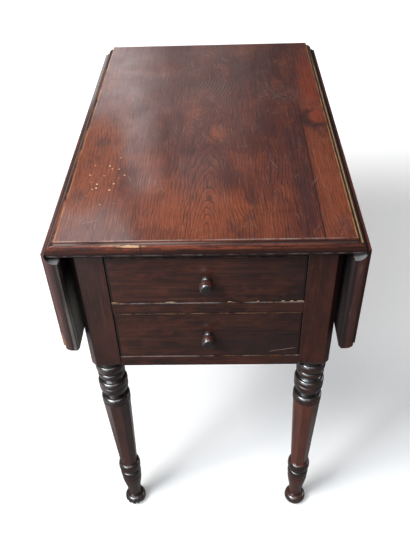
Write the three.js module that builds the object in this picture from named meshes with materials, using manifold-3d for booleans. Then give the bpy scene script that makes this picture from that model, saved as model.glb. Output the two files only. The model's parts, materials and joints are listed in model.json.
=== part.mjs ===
// A drop-leaf work table with two drawers, in millimetres, +Z up.
// The origin is on the floor under the middle of the table. The front, with the
// drawers, faces -Y, and the leaves hang at the left (-X) and the right (+X).

import * as THREE from "three";
import { mergeVertices } from "three/addons/utils/BufferGeometryUtils.js";
import Module from "manifold-3d";

const wasm = await Module();
wasm.setup();

// Driving dimensions of the top and its leaves
const tableHeight = 725;
const fieldWidth = 408;
const fieldDepth = 670;
const boardThickness = 25;
const leafDrop = 188;
const filletDepth = 6.5;
const ledgeWidth = 1.5;
const jointRadius = 11.5;
const jointClearance = 1;
const edgeFillet = 3;
const edgeLedge = 2;
const rollRun = 4;
const rollHeight = 12;
const lipHeight = 6.5;
const underBevelRun = 3;
const leafEndProud = 4;

// Driving dimensions of the case and its posts
const leafGap = 5.5;
const frontOverhang = 16;
const postWidth = 50;
const postCant = 6;
const pommelHeight = 20;
const blockDrop = 3;
const caseHeight = 241;
const topRailHeight = 13;
const upperOpening = 88;
const dividerHeight = 21.5;
const bottomRailHeight = 22;
const railDepth = 30;
const railSetback = 1;
const backThickness = 20;
const backSetback = 4;
const innerRailThickness = 18;
const outerRailThickness = 18;
const outerRailSetback = 7;

// Mortise and tenon joints
const tenonLength = 22;
const tenonThickness = 8;
const tenonShoulder = 3;
const sideTenonHeight = 50;
const sideTenonInset = 20;

// The drawers and what they run on
const drawerFrontThickness = 18;
const drawerSideThickness = 10;
const drawerBottomThickness = 6;
const drawerClearance = 1;
const drawerTopGap = 6;
const drawerBackGap = 8;
const bottomRaise = 9;
const grooveDepth = 5;
const dovetailLap = 6;
const dovetailCount = 3;
const runnerWidth = 25;
const guideHeight = 18;
const stopWidth = 30;
const stopDepth = 10;
const stopHeight = 6;
const stopSpread = 70;

// The swinging leaf supports
const bracketLength = 190;
const bracketHeight = 80;
const bracketTipHeight = 30;
const bracketRoot = 45;
const bracketGap = 1;
const knuckleCount = 5;
const flyPinRadius = 2.5;

// The iron hinges of the rule joints
const hingeLength = 32;
const hingeInset = 110;
const hingeFlap = 3;
const shortFlap = 35;
const longFlap = 45;
const barrelRadius = 3.2;
const hingePinRadius = 1.5;

// The knobs
const knobRadius = 10.5;
const knobReach = 22;
const knobTenonRadius = 5;
const knobTenonLength = 14;

// Fits
const seam = 0.3;
const pinFit = 0.3;
const overrun = 5;
const weld = 1e-4;

// Facets
const turnedSides = 20;
const smallSides = 16;
const arcSteps = 2;
const mouldSteps = 4;

// Where the boards lie
const fieldHalf = fieldWidth / 2;
const fieldHalfDepth = fieldDepth / 2;
const pinDepth = filletDepth + jointRadius;
const pinX = fieldHalf + ledgeWidth;
const pinZ = tableHeight - pinDepth;
const underside = tableHeight - boardThickness;
const underPin = pinZ - underside;
const edgeRun = edgeLedge + rollRun;
const topHalfDepth = fieldHalfDepth + edgeRun;
const leafHalfDepth = topHalfDepth + leafEndProud;
const coveRadius = jointRadius + jointClearance;

// Where the case lies
const caseHalfWidth = pinX - underPin - leafGap;
const caseHalfDepth = topHalfDepth - frontOverhang;
const caseTop = tableHeight - boardThickness - seam;
const caseBottom = caseTop - caseHeight;
const blockBottom = caseBottom - blockDrop;
const postHalf = postWidth / 2;
const legX = caseHalfWidth - postHalf;
const legY = caseHalfDepth - postHalf;
const openHalf = caseHalfWidth - postWidth;
const postInnerY = caseHalfDepth - postWidth;
const railY = [-caseHalfDepth + railSetback, -caseHalfDepth + railSetback + railDepth];
const backY = [caseHalfDepth - backSetback - backThickness, caseHalfDepth - backSetback];
const outerRailX = [
  caseHalfWidth - outerRailSetback - outerRailThickness,
  caseHalfWidth - outerRailSetback,
];
const innerRailX = [outerRailX[0] - seam - innerRailThickness, outerRailX[0] - seam];

// The three front rails and the two openings between them
const lowerOpening = caseHeight - topRailHeight - upperOpening - dividerHeight - bottomRailHeight;
const bottomRailZ = [caseBottom, caseBottom + bottomRailHeight];
const dividerZ = [bottomRailZ[1] + lowerOpening, bottomRailZ[1] + lowerOpening + dividerHeight];
const topRailZ = [dividerZ[1] + upperOpening, caseTop];

// Finishes
const mahogany = new THREE.MeshStandardMaterial({ color: 0x6b3524, roughness: 0.35 });
const rosewood = new THREE.MeshStandardMaterial({ color: 0x35201c, roughness: 0.4 });
const pine = new THREE.MeshStandardMaterial({ color: 0xb48a58, roughness: 0.75 });
const iron = new THREE.MeshStandardMaterial({ color: 0x4c4844, roughness: 0.5, metalness: 0.9 });

// A closed geometry as a solid that can be cut and joined.
function solid(geometry) {
  const bare = geometry.clone();
  bare.deleteAttribute("normal");
  bare.deleteAttribute("uv");
  const merged = mergeVertices(bare, weld);
  return new wasm.Manifold(
    new wasm.Mesh({
      numProp: 3,
      vertProperties: merged.attributes.position.array,
      triVerts: new Uint32Array(merged.index.array),
    }),
  );
}

// A finished solid as a named mesh.
function piece(name, shape, material) {
  const made = shape.getMesh();
  const geometry = new THREE.BufferGeometry();
  geometry.setAttribute("position", new THREE.BufferAttribute(made.vertProperties, made.numProp));
  geometry.setIndex(new THREE.BufferAttribute(made.triVerts, 1));
  geometry.computeVertexNormals();
  const mesh = new THREE.Mesh(geometry, material);
  mesh.name = name;
  return mesh;
}

// A block given by its low and high ends along x, y and z.
function block(box) {
  const size = ["x", "y", "z"].map((axis) => box[axis][1] - box[axis][0]);
  const middle = ["x", "y", "z"].map((axis) => (box[axis][1] + box[axis][0]) / 2);
  return solid(new THREE.BoxGeometry(...size).translate(...middle));
}

// The same box made larger all round, for the cut that takes a block with a gap.
function grown(box, gap) {
  const wider = {};
  for (const axis of ["x", "y", "z"]) {
    wider[axis] = [box[axis][0] - gap, box[axis][1] + gap];
  }
  return wider;
}

// The same box on the other side of the middle plane across one axis.
function mirrored(box, axis) {
  return { ...box, [axis]: [-box[axis][1], -box[axis][0]] };
}

// A section drawn in two axes and run along the third.
const runDirections = {
  x: [new THREE.Vector3(0, 1, 0), new THREE.Vector3(0, 0, 1), new THREE.Vector3(1, 0, 0)],
  y: [new THREE.Vector3(1, 0, 0), new THREE.Vector3(0, 0, 1), new THREE.Vector3(0, -1, 0)],
  z: [new THREE.Vector3(1, 0, 0), new THREE.Vector3(0, 1, 0), new THREE.Vector3(0, 0, 1)],
};
function run(section, axis, low, high) {
  const geometry = new THREE.ExtrudeGeometry(section, {
    depth: high - low,
    bevelEnabled: false,
    curveSegments: mouldSteps,
  });
  geometry.applyMatrix4(new THREE.Matrix4().makeBasis(...runDirections[axis]));
  geometry.translate(axis === "x" ? low : 0, axis === "y" ? high : 0, axis === "z" ? low : 0);
  return solid(geometry);
}

// A path from the axis back to the axis, turned about the upright line.
function turn(path, sides) {
  const points = path.getPoints(arcSteps);
  if (points[0].y > points[points.length - 1].y) points.reverse();
  return solid(new THREE.LatheGeometry(points, sides).rotateX(Math.PI / 2));
}

// A round pin or hole along an axis.
function rod(radius, axis, low, high, sides) {
  const geometry = new THREE.CylinderGeometry(radius, radius, high - low, sides);
  if (axis === "z") geometry.rotateX(Math.PI / 2);
  const middle = (low + high) / 2;
  geometry.translate(0, axis === "y" ? middle : 0, axis === "z" ? middle : 0);
  return solid(geometry);
}

// The moulded edge that runs round every free side of the boards: from the
// underside outwards, up over the lip and the flat roll, and in to the field.
function mouldedEdge(section, rim, side) {
  const edge = rim + side * edgeRun;
  const ledge = tableHeight - edgeFillet;
  const quirk = ledge - rollHeight;
  const turning = side > 0 ? [0, Math.PI / 2] : [Math.PI / 2, Math.PI];
  const up = [
    () => section.lineTo(edge - side * underBevelRun, underside),
    () => section.lineTo(edge, quirk - lipHeight),
    () => section.lineTo(edge, quirk),
    () => section.absellipse(rim + side * edgeLedge, quirk, rollRun, rollHeight, ...turning, false),
    () => section.lineTo(rim, ledge),
    () => section.lineTo(rim, tableHeight),
  ];
  const order = side > 0 ? up : up.reverse();
  order.forEach((step) => step());
}

// The ends of the top, and of the slightly longer leaves, seen along x.
function endSection(rim) {
  const section = new THREE.Shape();
  section.moveTo(0, underside);
  mouldedEdge(section, rim, 1);
  mouldedEdge(section, -rim, -1);
  return section;
}

// The top, seen along y: its ovolo runs on round below the pin, so that the
// hanging leaf's cove turns about it.
function topSection() {
  const tuck = Math.asin(underPin / jointRadius);
  const section = new THREE.Shape();
  section.moveTo(0, underside);
  section.absarc(pinX, pinZ, jointRadius, -tuck, Math.PI / 2, false);
  section.lineTo(fieldHalf, pinZ + jointRadius);
  section.lineTo(fieldHalf, tableHeight);
  section.lineTo(-fieldHalf, tableHeight);
  section.lineTo(-fieldHalf, pinZ + jointRadius);
  section.absarc(-pinX, pinZ, jointRadius, Math.PI / 2, Math.PI + tuck, false);
  return section;
}

// The raised right leaf, seen along y: coved on the inside, moulded outside.
function leafSection() {
  const rim = pinX + leafDrop - edgeRun;
  const section = new THREE.Shape();
  section.moveTo(pinX + coveRadius, underside);
  mouldedEdge(section, rim, 1);
  section.lineTo(fieldHalf + jointClearance, tableHeight);
  section.lineTo(fieldHalf + jointClearance, pinZ + coveRadius);
  section.absarc(pinX, pinZ, coveRadius, Math.PI / 2, 0, true);
  return section;
}

// The room that each hinge needs in the top and in the raised leaf.
const flapTop = underside + hingeFlap;
const knuckleSweep = Math.hypot(barrelRadius, underPin);
const hingeRoomHalf = hingeLength / 2 + seam;
const hingePlaces = [hingeInset - fieldHalfDepth, fieldHalfDepth - hingeInset];
function hingeRoomInTop(y) {
  const along = [y - hingeRoomHalf, y + hingeRoomHalf];
  const below = underside - overrun;
  const knuckle = {
    x: [pinX - knuckleSweep - seam, pinX + knuckleSweep + seam],
    y: along,
    z: [below, pinZ + barrelRadius + seam],
  };
  const flaps = {
    x: [pinX - shortFlap - seam, pinX + coveRadius + overrun],
    y: along,
    z: [below, flapTop + seam],
  };
  return block(knuckle).add(block(flaps));
}
function hingeRoomInLeaf(y) {
  return block({
    x: [pinX, pinX + longFlap + seam],
    y: [y - hingeRoomHalf, y + hingeRoomHalf],
    z: [underside - overrun, flapTop + seam],
  });
}

function topBoard() {
  let board = run(topSection(), "y", -topHalfDepth - overrun, topHalfDepth + overrun);
  const reach = pinX + jointRadius + overrun;
  board = board.intersect(run(endSection(fieldHalfDepth), "x", -reach, reach));
  for (const y of hingePlaces) {
    const room = hingeRoomInTop(y);
    board = board.subtract(room).subtract(room.rotate([0, 0, 180]));
  }
  return board;
}

function leafBoard() {
  let board = run(leafSection(), "y", -leafHalfDepth - overrun, leafHalfDepth + overrun);
  const ends = endSection(fieldHalfDepth + leafEndProud);
  board = board.intersect(run(ends, "x", fieldHalf, pinX + leafDrop + overrun));
  for (const y of hingePlaces) board = board.subtract(hingeRoomInLeaf(y));
  return board;
}

// One hinge flap: knuckles round the pin, with a web down to the flap. The
// short flap has the two outer knuckles and the long one has the middle one.
const knuckleLength = hingeLength / 3;
function hingeKnuckle(y, from, to) {
  const low = y + from * knuckleLength + seam / 2;
  const high = y + to * knuckleLength - seam / 2;
  const barrel = rod(barrelRadius, "y", low, high, smallSides).translate([pinX, 0, pinZ]);
  const web = block({
    x: [pinX - barrelRadius, pinX + barrelRadius],
    y: [low, high],
    z: [underside, pinZ],
  });
  return barrel.add(web);
}
function pinHole(y) {
  const half = hingeLength / 2 + overrun;
  return rod(hingePinRadius + pinFit, "y", y - half, y + half, smallSides).translate([pinX, 0, pinZ]);
}
function shortHingeFlap(y) {
  const flapZ = [underside, flapTop];
  const whole = { x: [pinX - shortFlap, pinX], y: [y - hingeLength / 2, y + hingeLength / 2], z: flapZ };
  const relief = {
    x: [pinX - knuckleSweep - seam, pinX + overrun],
    y: [y - knuckleLength / 2 - seam / 2, y + knuckleLength / 2 + seam / 2],
    z: [flapZ[0] - overrun, flapZ[1] + overrun],
  };
  return block(whole)
    .subtract(block(relief))
    .add(hingeKnuckle(y, -1.5, -0.5))
    .add(hingeKnuckle(y, 0.5, 1.5))
    .subtract(pinHole(y));
}
function longHingeFlap(y) {
  const flapZ = [underside, flapTop];
  const start = pinX + underPin + seam;
  const whole = { x: [start, pinX + longFlap], y: [y - hingeLength / 2, y + hingeLength / 2], z: flapZ };
  const neck = {
    x: [pinX, start + seam],
    y: [y - knuckleLength / 2 + seam / 2, y + knuckleLength / 2 - seam / 2],
    z: flapZ,
  };
  return block(whole).add(block(neck)).add(hingeKnuckle(y, -0.5, 0.5)).subtract(pinHole(y));
}
function hingePin(y) {
  const half = hingeLength / 2;
  return rod(hingePinRadius, "y", y - half, y + half, smallSides).translate([pinX, 0, pinZ]);
}

// The turned members of a leg, from the block down to the shaft and from the
// shaft down to the ankle: kind, height and radius, then the radius of the
// quirk under it. Heights are shares of the leg, radii of half the post.
const upperTurningShares = [
  ["band", 0.0105, 0.84, 0.84],
  ["bead", 0.0295, 0.975, 0.88],
  ["band", 0.009, 0.88, 0.88],
  ["bead", 0.033, 1, 0.85],
  ["cove", 0.031, 0.78, 0.84],
  ["bead", 0.0125, 0.88, 0.86],
  ["bead", 0.072, 0.985, 0.8],
  ["band", 0.008, 0.8, 0.8],
  ["bead", 0.026, 0.99, 0.93],
  ["band", 0.009, 0.985, 0.985],
];
const lowerTurningShares = [
  ["bead", 0.055, 0.83, 0.67],
  ["band", 0.007, 0.67, 0.67],
  ["bead", 0.04, 0.8, 0.74],
];
const ankleShares = { height: 0.17, bulge: 0.86, bulgeAt: 0.24, waist: 0.45, waistAt: 0.55 };
const footShares = { height: 0.077, ankle: 0.49, radius: 0.82, widestAt: 0.49, sole: 0.38 };
const shaftTopShare = 0.905;
const shaftBottomShare = 0.62;

// Adds turned members to a path going down from a height, and says where it ends.
function turnDown(path, top, legHeight, members) {
  let z = top;
  let quirk = members[0][3] * postHalf;
  path.lineTo(quirk, z);
  for (const [kind, heightShare, radiusShare, quirkShare] of members) {
    const height = heightShare * legHeight;
    const radius = radiusShare * postHalf;
    const next = quirkShare * postHalf;
    if (kind === "bead") {
      path.lineTo(quirk, z);
      path.quadraticCurveTo(radius, z, radius, z - height / 2);
      path.quadraticCurveTo(radius, z - height, next, z - height);
    }
    if (kind === "cove") {
      path.quadraticCurveTo(2 * radius - (quirk + next) / 2, z - height / 2, next, z - height);
    }
    if (kind === "band") {
      path.lineTo(radius, z);
      path.lineTo(radius, z - height);
    }
    quirk = next;
    z -= height;
  }
  return z;
}

// One leg about its own axis, canted at the corner that faces +X and -Y.
function leg(mortises) {
  const section = new THREE.Shape();
  section.moveTo(-postHalf, -postHalf);
  section.lineTo(postHalf - postCant, -postHalf);
  section.lineTo(postHalf, -postHalf + postCant);
  section.lineTo(postHalf, postHalf);
  section.lineTo(-postHalf, postHalf);
  const cornerRadius = Math.hypot(postHalf, postHalf);
  const shoulder = new THREE.Path();
  shoulder.moveTo(0, blockBottom);
  shoulder.lineTo(upperTurningShares[0][3] * postHalf, blockBottom);
  shoulder.quadraticCurveTo(
    cornerRadius,
    blockBottom + seam,
    cornerRadius,
    blockBottom + pommelHeight,
  );
  shoulder.lineTo(cornerRadius, caseTop + overrun);
  shoulder.lineTo(0, caseTop + overrun);
  let made = run(section, "z", blockBottom, caseTop).intersect(turn(shoulder, turnedSides * 2));

  const upper = new THREE.Path();
  upper.moveTo(0, blockBottom + overrun);
  upper.lineTo(upperTurningShares[0][3] * postHalf, blockBottom + overrun);
  const shaftTop = turnDown(upper, blockBottom, blockBottom, upperTurningShares);
  upper.lineTo(0, shaftTop);

  const lowerHeight = lowerTurningShares.reduce((sum, member) => sum + member[1], 0) * blockBottom;
  const ankleTop = (footShares.height + ankleShares.height) * blockBottom;
  const shaftBottom = ankleTop + lowerHeight;
  const lower = new THREE.Path();
  lower.moveTo(0, shaftBottom);
  turnDown(lower, shaftBottom, blockBottom, lowerTurningShares);
  const footTop = footShares.height * blockBottom;
  const footRadius = footShares.radius * postHalf;
  const widest = footShares.widestAt * footTop;
  const ankle = footShares.ankle * postHalf;
  lower.bezierCurveTo(
    ankleShares.bulge * postHalf,
    ankleTop - ankleShares.bulgeAt * (ankleTop - footTop),
    ankleShares.waist * postHalf,
    ankleTop - ankleShares.waistAt * (ankleTop - footTop),
    ankle,
    footTop,
  );
  lower.quadraticCurveTo(footRadius, footTop, footRadius, widest);
  lower.quadraticCurveTo(footRadius, widest / 2, footShares.sole * postHalf, 0);
  lower.lineTo(0, 0);

  const facing = Math.cos(Math.PI / 8);
  const shaft = new THREE.CylinderGeometry(
    (shaftTopShare * postHalf) / facing,
    (shaftBottomShare * postHalf) / facing,
    shaftTop - shaftBottom + 2 * seam,
    8,
    1,
    false,
    Math.PI / 8,
  );
  shaft.rotateX(Math.PI / 2);
  shaft.translate(0, 0, (shaftTop + shaftBottom) / 2);
  made = made.add(turn(upper, turnedSides)).add(turn(lower, turnedSides)).add(solid(shaft));
  for (const tenon of mortises) {
    const hole = block(grown(tenon, seam)).translate([-legX, legY, 0]);
    made = made.subtract(hole);
  }
  return made;
}

// Tenons at the front right corner: of a front rail, and of the side rail.
function railTenon(y, z) {
  const middle = (y[0] + y[1]) / 2;
  return {
    x: [openHalf - tenonLength, openHalf + tenonLength],
    y: [middle - tenonThickness / 2, middle + tenonThickness / 2],
    z,
  };
}
const frontTenons = [topRailZ, dividerZ, bottomRailZ].map((z) =>
  railTenon(railY, [z[0] + tenonShoulder, z[1] - tenonShoulder]),
);
const sideTenonHeights = [
  [caseBottom + sideTenonInset, caseBottom + sideTenonInset + sideTenonHeight],
  [caseTop - sideTenonInset - sideTenonHeight, caseTop - sideTenonInset],
];
const sideTenons = sideTenonHeights.map((z) => {
  const middle = (innerRailX[0] + innerRailX[1]) / 2;
  return {
    x: [middle - tenonThickness / 2, middle + tenonThickness / 2],
    y: [-postInnerY - tenonLength, -postInnerY + tenonLength],
    z,
  };
});
const backTenons = sideTenonHeights.map((z) => railTenon(backY, z));

function frontRail(z, tenon) {
  return block({ x: [-openHalf + seam, openHalf - seam], y: railY, z })
    .add(block(tenon))
    .add(block(mirrored(tenon, "x")));
}
function backPanel() {
  let panel = block({ x: [-openHalf + seam, openHalf - seam], y: backY, z: [caseBottom, caseTop] });
  for (const tenon of backTenons) panel = panel.add(block(tenon)).add(block(mirrored(tenon, "x")));
  return panel;
}
function innerRail() {
  let rail = block({
    x: innerRailX,
    y: [-postInnerY + seam, postInnerY - seam],
    z: [caseBottom, caseTop],
  });
  for (const tenon of sideTenons) rail = rail.add(block(tenon)).add(block(mirrored(tenon, "y")));
  return rail;
}

// The fly bracket: a shaped board that swings on wooden knuckles.
const knuckleRadius = outerRailThickness / 2;
const flyX = (outerRailX[0] + outerRailX[1]) / 2;
const flyPinY = -bracketLength / 2;
const bracketTop = caseTop - bracketGap;
const bodyStart = knuckleRadius + bracketGap;
const fingerHeight = bracketHeight / knuckleCount;
function bracketOutline(gap, start) {
  const end = flyPinY + bracketLength + gap;
  const foot = bracketTop - bracketHeight - gap;
  const tip = bracketTop - bracketTipHeight - gap;
  const root = flyPinY + bracketRoot;
  const middle = (root + end) / 2;
  const section = new THREE.Shape();
  section.moveTo(start, foot);
  section.lineTo(root, foot);
  section.bezierCurveTo(middle, foot, middle, tip, end, tip);
  section.lineTo(end, gap > 0 ? caseTop + overrun : bracketTop);
  section.lineTo(start, gap > 0 ? caseTop + overrun : bracketTop);
  return section;
}
function finger(index, towards) {
  const low = bracketTop - bracketHeight + index * fingerHeight + seam;
  const high = low + fingerHeight - 2 * seam;
  const reach = flyPinY + towards * (bodyStart + seam);
  const arm = block({
    x: outerRailX,
    y: [Math.min(flyPinY, reach), Math.max(flyPinY, reach)],
    z: [low, high],
  });
  const round = rod(knuckleRadius, "z", low, high, turnedSides).translate([flyX, flyPinY, 0]);
  return arm.add(round);
}
function flyPinHole(grow) {
  const low = bracketTop - bracketHeight - knuckleRadius;
  const hole = rod(flyPinRadius + grow, "z", low - grow, caseTop + grow * overrun, smallSides);
  return hole.translate([flyX, flyPinY, 0]);
}
function flyBracket() {
  let made = run(bracketOutline(0, flyPinY + bodyStart), "x", ...outerRailX);
  for (let i = 1; i < knuckleCount; i += 2) made = made.add(finger(i, 1));
  return made.subtract(flyPinHole(pinFit));
}
function outerRail() {
  let made = block({
    x: outerRailX,
    y: [-postInnerY + seam, postInnerY - seam],
    z: [caseBottom, caseTop],
  });
  const notch = bracketOutline(bracketGap, flyPinY - bodyStart);
  made = made.subtract(run(notch, "x", outerRailX[0] - overrun, outerRailX[1] + overrun));
  for (let i = 0; i < knuckleCount; i += 2) made = made.add(finger(i, -1));
  return made.subtract(flyPinHole(pinFit));
}
function flyPin() {
  const low = bracketTop - bracketHeight - knuckleRadius;
  return rod(flyPinRadius, "z", low, bracketTop, smallSides).translate([flyX, flyPinY, 0]);
}

// Runners carry a drawer and guide its sides; kickers keep it from tipping.
function drawerBearer(side, z, guided) {
  const inner = openHalf - runnerWidth;
  const outer = innerRailX[0] - seam;
  const betweenPosts = [-postInnerY + seam, postInnerY - seam];
  const wide = { x: [inner, outer], y: betweenPosts, z };
  const long = { x: [inner, openHalf - seam], y: [railY[1] + seam, backY[0] - seam], z };
  const guide = { x: [openHalf + seam, outer], y: betweenPosts, z: [z[0], z[1] + guideHeight] };
  const boxes = guided ? [wide, long, guide] : [wide, long];
  return boxes
    .map((box) => block(side > 0 ? box : mirrored(box, "x")))
    .reduce((joined, next) => joined.add(next));
}
function drawerStop(side, z) {
  const y = railY[0] + drawerFrontThickness + seam;
  const middle = side * stopSpread;
  return block({
    x: [middle - stopWidth / 2, middle + stopWidth / 2],
    y: [y, y + stopDepth],
    z: [z + seam, z + seam + stopHeight],
  });
}

// Dovetails as wedges of the side's thickness, widest at their far end.
const dovetailRootShare = 0.3;
const dovetailEndShare = 0.4;
function dovetails(x, root, end, z, gap) {
  const pitch = (z[1] - z[0]) / dovetailCount;
  const tails = [];
  for (let i = 0; i < dovetailCount; i += 1) {
    const middle = z[0] + (i + 0.5) * pitch;
    const away = Math.sign(end - root);
    const section = new THREE.Shape();
    const near = dovetailRootShare * pitch + gap;
    const far = dovetailEndShare * pitch + gap;
    const start = root - 2 * away * seam;
    const corners = [
      [start, middle - near],
      [end + away * gap, middle - far],
      [end + away * gap, middle + far],
      [start, middle + near],
    ];
    if (away < 0) corners.reverse();
    section.setFromPoints(corners.map(([y, height]) => new THREE.Vector2(y, height)));
    tails.push(run(section, "x", x[0] - gap, x[1] + gap));
  }
  return tails;
}

// One drawer in its opening: its front, sides, back, bottom and knob.
function drawer(level, opening) {
  const half = openHalf - drawerClearance;
  const frontY = [railY[0], railY[0] + drawerFrontThickness];
  const sideX = [half - drawerSideThickness, half];
  const backEnd = backY[0] - drawerBackGap;
  const boxBackY = [backEnd - drawerSideThickness, backEnd];
  const frontZ = [opening[0] + drawerClearance, opening[1] - drawerClearance];
  const sideZ = [opening[0] + seam, opening[1] - drawerTopGap];
  const bottomZ = [sideZ[0] + bottomRaise, sideZ[0] + bottomRaise + drawerBottomThickness];
  const backZ = [bottomZ[1] + seam, sideZ[1]];
  const tailEnd = frontY[0] + dovetailLap;
  const frontTails = (x, gap) => dovetails(x, frontY[1], tailEnd, [frontZ[0], sideZ[1]], gap);
  const backTails = (x, gap) => dovetails(x, boxBackY[0], boxBackY[1], backZ, gap);
  const both = (x) => [x, [-x[1], -x[0]]];

  let front = block({ x: [-half, half], y: frontY, z: frontZ });
  for (const x of both(sideX)) {
    for (const socket of frontTails(x, seam)) front = front.subtract(socket);
  }
  const frontGroove = {
    x: [-sideX[0], sideX[0]],
    y: [frontY[1] - grooveDepth, frontY[1] + overrun],
    z: [bottomZ[0] - seam, bottomZ[1] + seam],
  };
  const knobZ = (frontZ[0] + frontZ[1]) / 2;
  const knobHole = rod(
    knobTenonRadius + seam,
    "y",
    frontY[0] - overrun,
    frontY[0] + knobTenonLength + seam,
    smallSides,
  );
  front = front.subtract(block(frontGroove)).subtract(knobHole.translate([0, 0, knobZ]));

  const sidePiece = (x) => {
    const inward = x[0] > 0 ? x[0] : x[1];
    const groove = {
      x: [inward - grooveDepth, inward + grooveDepth],
      y: [frontY[1], boxBackY[1] + overrun],
      z: [bottomZ[0] - seam, bottomZ[1] + seam],
    };
    let side = block({ x, y: [frontY[1] + seam, boxBackY[0] - seam], z: sideZ });
    for (const tail of frontTails(x, 0)) side = side.add(tail);
    side = side.subtract(block(groove));
    for (const tail of backTails(x, 0)) side = side.add(tail);
    return side;
  };

  let back = block({ x: [-half, half], y: boxBackY, z: backZ });
  for (const x of both(sideX)) {
    for (const socket of backTails(x, seam)) back = back.subtract(socket);
  }

  const panelHalf = sideX[0] + grooveDepth - seam;
  const bottom = block({
    x: [-panelHalf, panelHalf],
    y: [frontY[1] + seam, boxBackY[1]],
    z: bottomZ,
  }).add(
    block({
      x: [-sideX[0] + seam, sideX[0] - seam],
      y: [frontY[1] - grooveDepth + seam, frontY[1] + overrun],
      z: bottomZ,
    }),
  );

  const group = new THREE.Group();
  group.add(piece(`drawer_${level}_front`, front, rosewood));
  group.add(piece(`drawer_${level}_side_left`, sidePiece([-sideX[1], -sideX[0]]), pine));
  group.add(piece(`drawer_${level}_side_right`, sidePiece(sideX), pine));
  group.add(piece(`drawer_${level}_back`, back, pine));
  group.add(piece(`drawer_${level}_bottom`, bottom, pine));
  const handle = piece(`knob_${level}`, knob(), rosewood);
  handle.position.set(0, frontY[0], knobZ);
  group.add(handle);
  return group;
}

// A turned knob on its tenon, standing out towards -Y from the drawer front.
const knobNeckShares = { collar: 0.68, collarReach: 0.12, neck: 0.46, neckReach: 0.3 };
const knobHeadShares = { rimReach: 0.62, crown: 0.55 };
function knob() {
  const path = new THREE.Path();
  path.moveTo(0, -knobTenonLength);
  path.lineTo(knobTenonRadius, -knobTenonLength);
  path.lineTo(knobTenonRadius, seam);
  path.lineTo(knobNeckShares.collar * knobRadius, seam);
  path.lineTo(knobNeckShares.collar * knobRadius, knobNeckShares.collarReach * knobReach);
  path.quadraticCurveTo(
    knobNeckShares.neck * knobRadius,
    knobNeckShares.collarReach * knobReach,
    knobNeckShares.neck * knobRadius,
    knobNeckShares.neckReach * knobReach,
  );
  path.quadraticCurveTo(
    knobRadius,
    knobNeckShares.neckReach * knobReach,
    knobRadius,
    knobHeadShares.rimReach * knobReach,
  );
  path.quadraticCurveTo(knobRadius, knobReach, knobHeadShares.crown * knobRadius, knobReach);
  path.lineTo(0, knobReach);
  const geometry = new THREE.LatheGeometry(path.getPoints(arcSteps * 2), turnedSides);
  return solid(geometry.rotateX(Math.PI));
}

const table = new THREE.Group();

// The fixed top and the four legs
table.add(piece("top_board", topBoard(), mahogany));
const frontMortises = [...frontTenons, ...sideTenons];
const backMortises = [...backTenons.map((tenon) => mirrored(tenon, "y")), ...sideTenons];
for (const [end, mortises, away] of [["front", frontMortises, -1], ["back", backMortises, 1]]) {
  const shape = leg(mortises);
  for (const [side, across] of [["left", -1], ["right", 1]]) {
    const mesh = piece(`leg_${end}_${side}`, shape, rosewood);
    mesh.position.set(across * legX, away * legY, 0);
    mesh.scale.set(across, -away, 1);
    table.add(mesh);
  }
}

// The case between the posts
table.add(piece("top_rail", frontRail(topRailZ, frontTenons[0]), rosewood));
table.add(piece("drawer_divider", frontRail(dividerZ, frontTenons[1]), rosewood));
table.add(piece("bottom_rail", frontRail(bottomRailZ, frontTenons[2]), rosewood));
table.add(piece("back_panel", backPanel(), rosewood));
for (const [side, across] of [["left", -1], ["right", 1]]) {
  table.add(piece(`runner_upper_${side}`, drawerBearer(across, dividerZ, true), pine));
  table.add(piece(`runner_lower_${side}`, drawerBearer(across, bottomRailZ, true), pine));
  table.add(piece(`kicker_${side}`, drawerBearer(across, topRailZ, false), pine));
  table.add(piece(`stop_upper_${side}`, drawerStop(across, dividerZ[1]), pine));
  table.add(piece(`stop_lower_${side}`, drawerStop(across, bottomRailZ[1]), pine));
}
table.add(drawer("upper", [dividerZ[1], topRailZ[0]]));
table.add(drawer("lower", [bottomRailZ[1], dividerZ[0]]));

// The two sides are one another turned round: rails, fly bracket, leaf, hinges
for (const [side, heading] of [["right", 0], ["left", Math.PI]]) {
  const half = new THREE.Group();
  half.rotation.z = heading;
  half.add(piece(`inner_rail_${side}`, innerRail(), pine));
  half.add(piece(`outer_rail_${side}`, outerRail(), rosewood));
  half.add(piece(`fly_bracket_${side}`, flyBracket(), rosewood));
  half.add(piece(`fly_pin_${side}`, flyPin(), iron));

  // What hangs on the rule joint is made level, then turned down about its pin
  const hanging = new THREE.Group();
  hanging.position.set(pinX, 0, pinZ);
  hanging.rotation.y = Math.PI / 2;
  const level = new THREE.Group();
  level.position.set(-pinX, 0, -pinZ);
  level.add(piece(`leaf_${side}_board`, leafBoard(), mahogany));
  hanging.add(level);
  half.add(hanging);
  for (const y of hingePlaces) {
    const end = y * (heading > 0 ? -1 : 1) < 0 ? "front" : "back";
    half.add(piece(`hinge_top_flap_${side}_${end}`, shortHingeFlap(y), iron));
    half.add(piece(`hinge_pin_${side}_${end}`, hingePin(y), iron));
    level.add(piece(`hinge_leaf_flap_${side}_${end}`, longHingeFlap(y), iron));
  }
  table.add(half);
}

export default table;
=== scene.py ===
# %% [markdown]
# # A drop-leaf work table, dressed for the camera
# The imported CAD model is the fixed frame: it says where each board is and how
# it moves. Here every piece that shows gets soft edges and a finish: glossy
# red-brown varnish worn thin on the top, near-black wood on the case and legs,
# bare pine inside and dull iron hinges. Sizes are in metres.

# %% The frame
import json
import math

import bmesh
import bpy
from mathutils import Matrix, Vector


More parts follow.
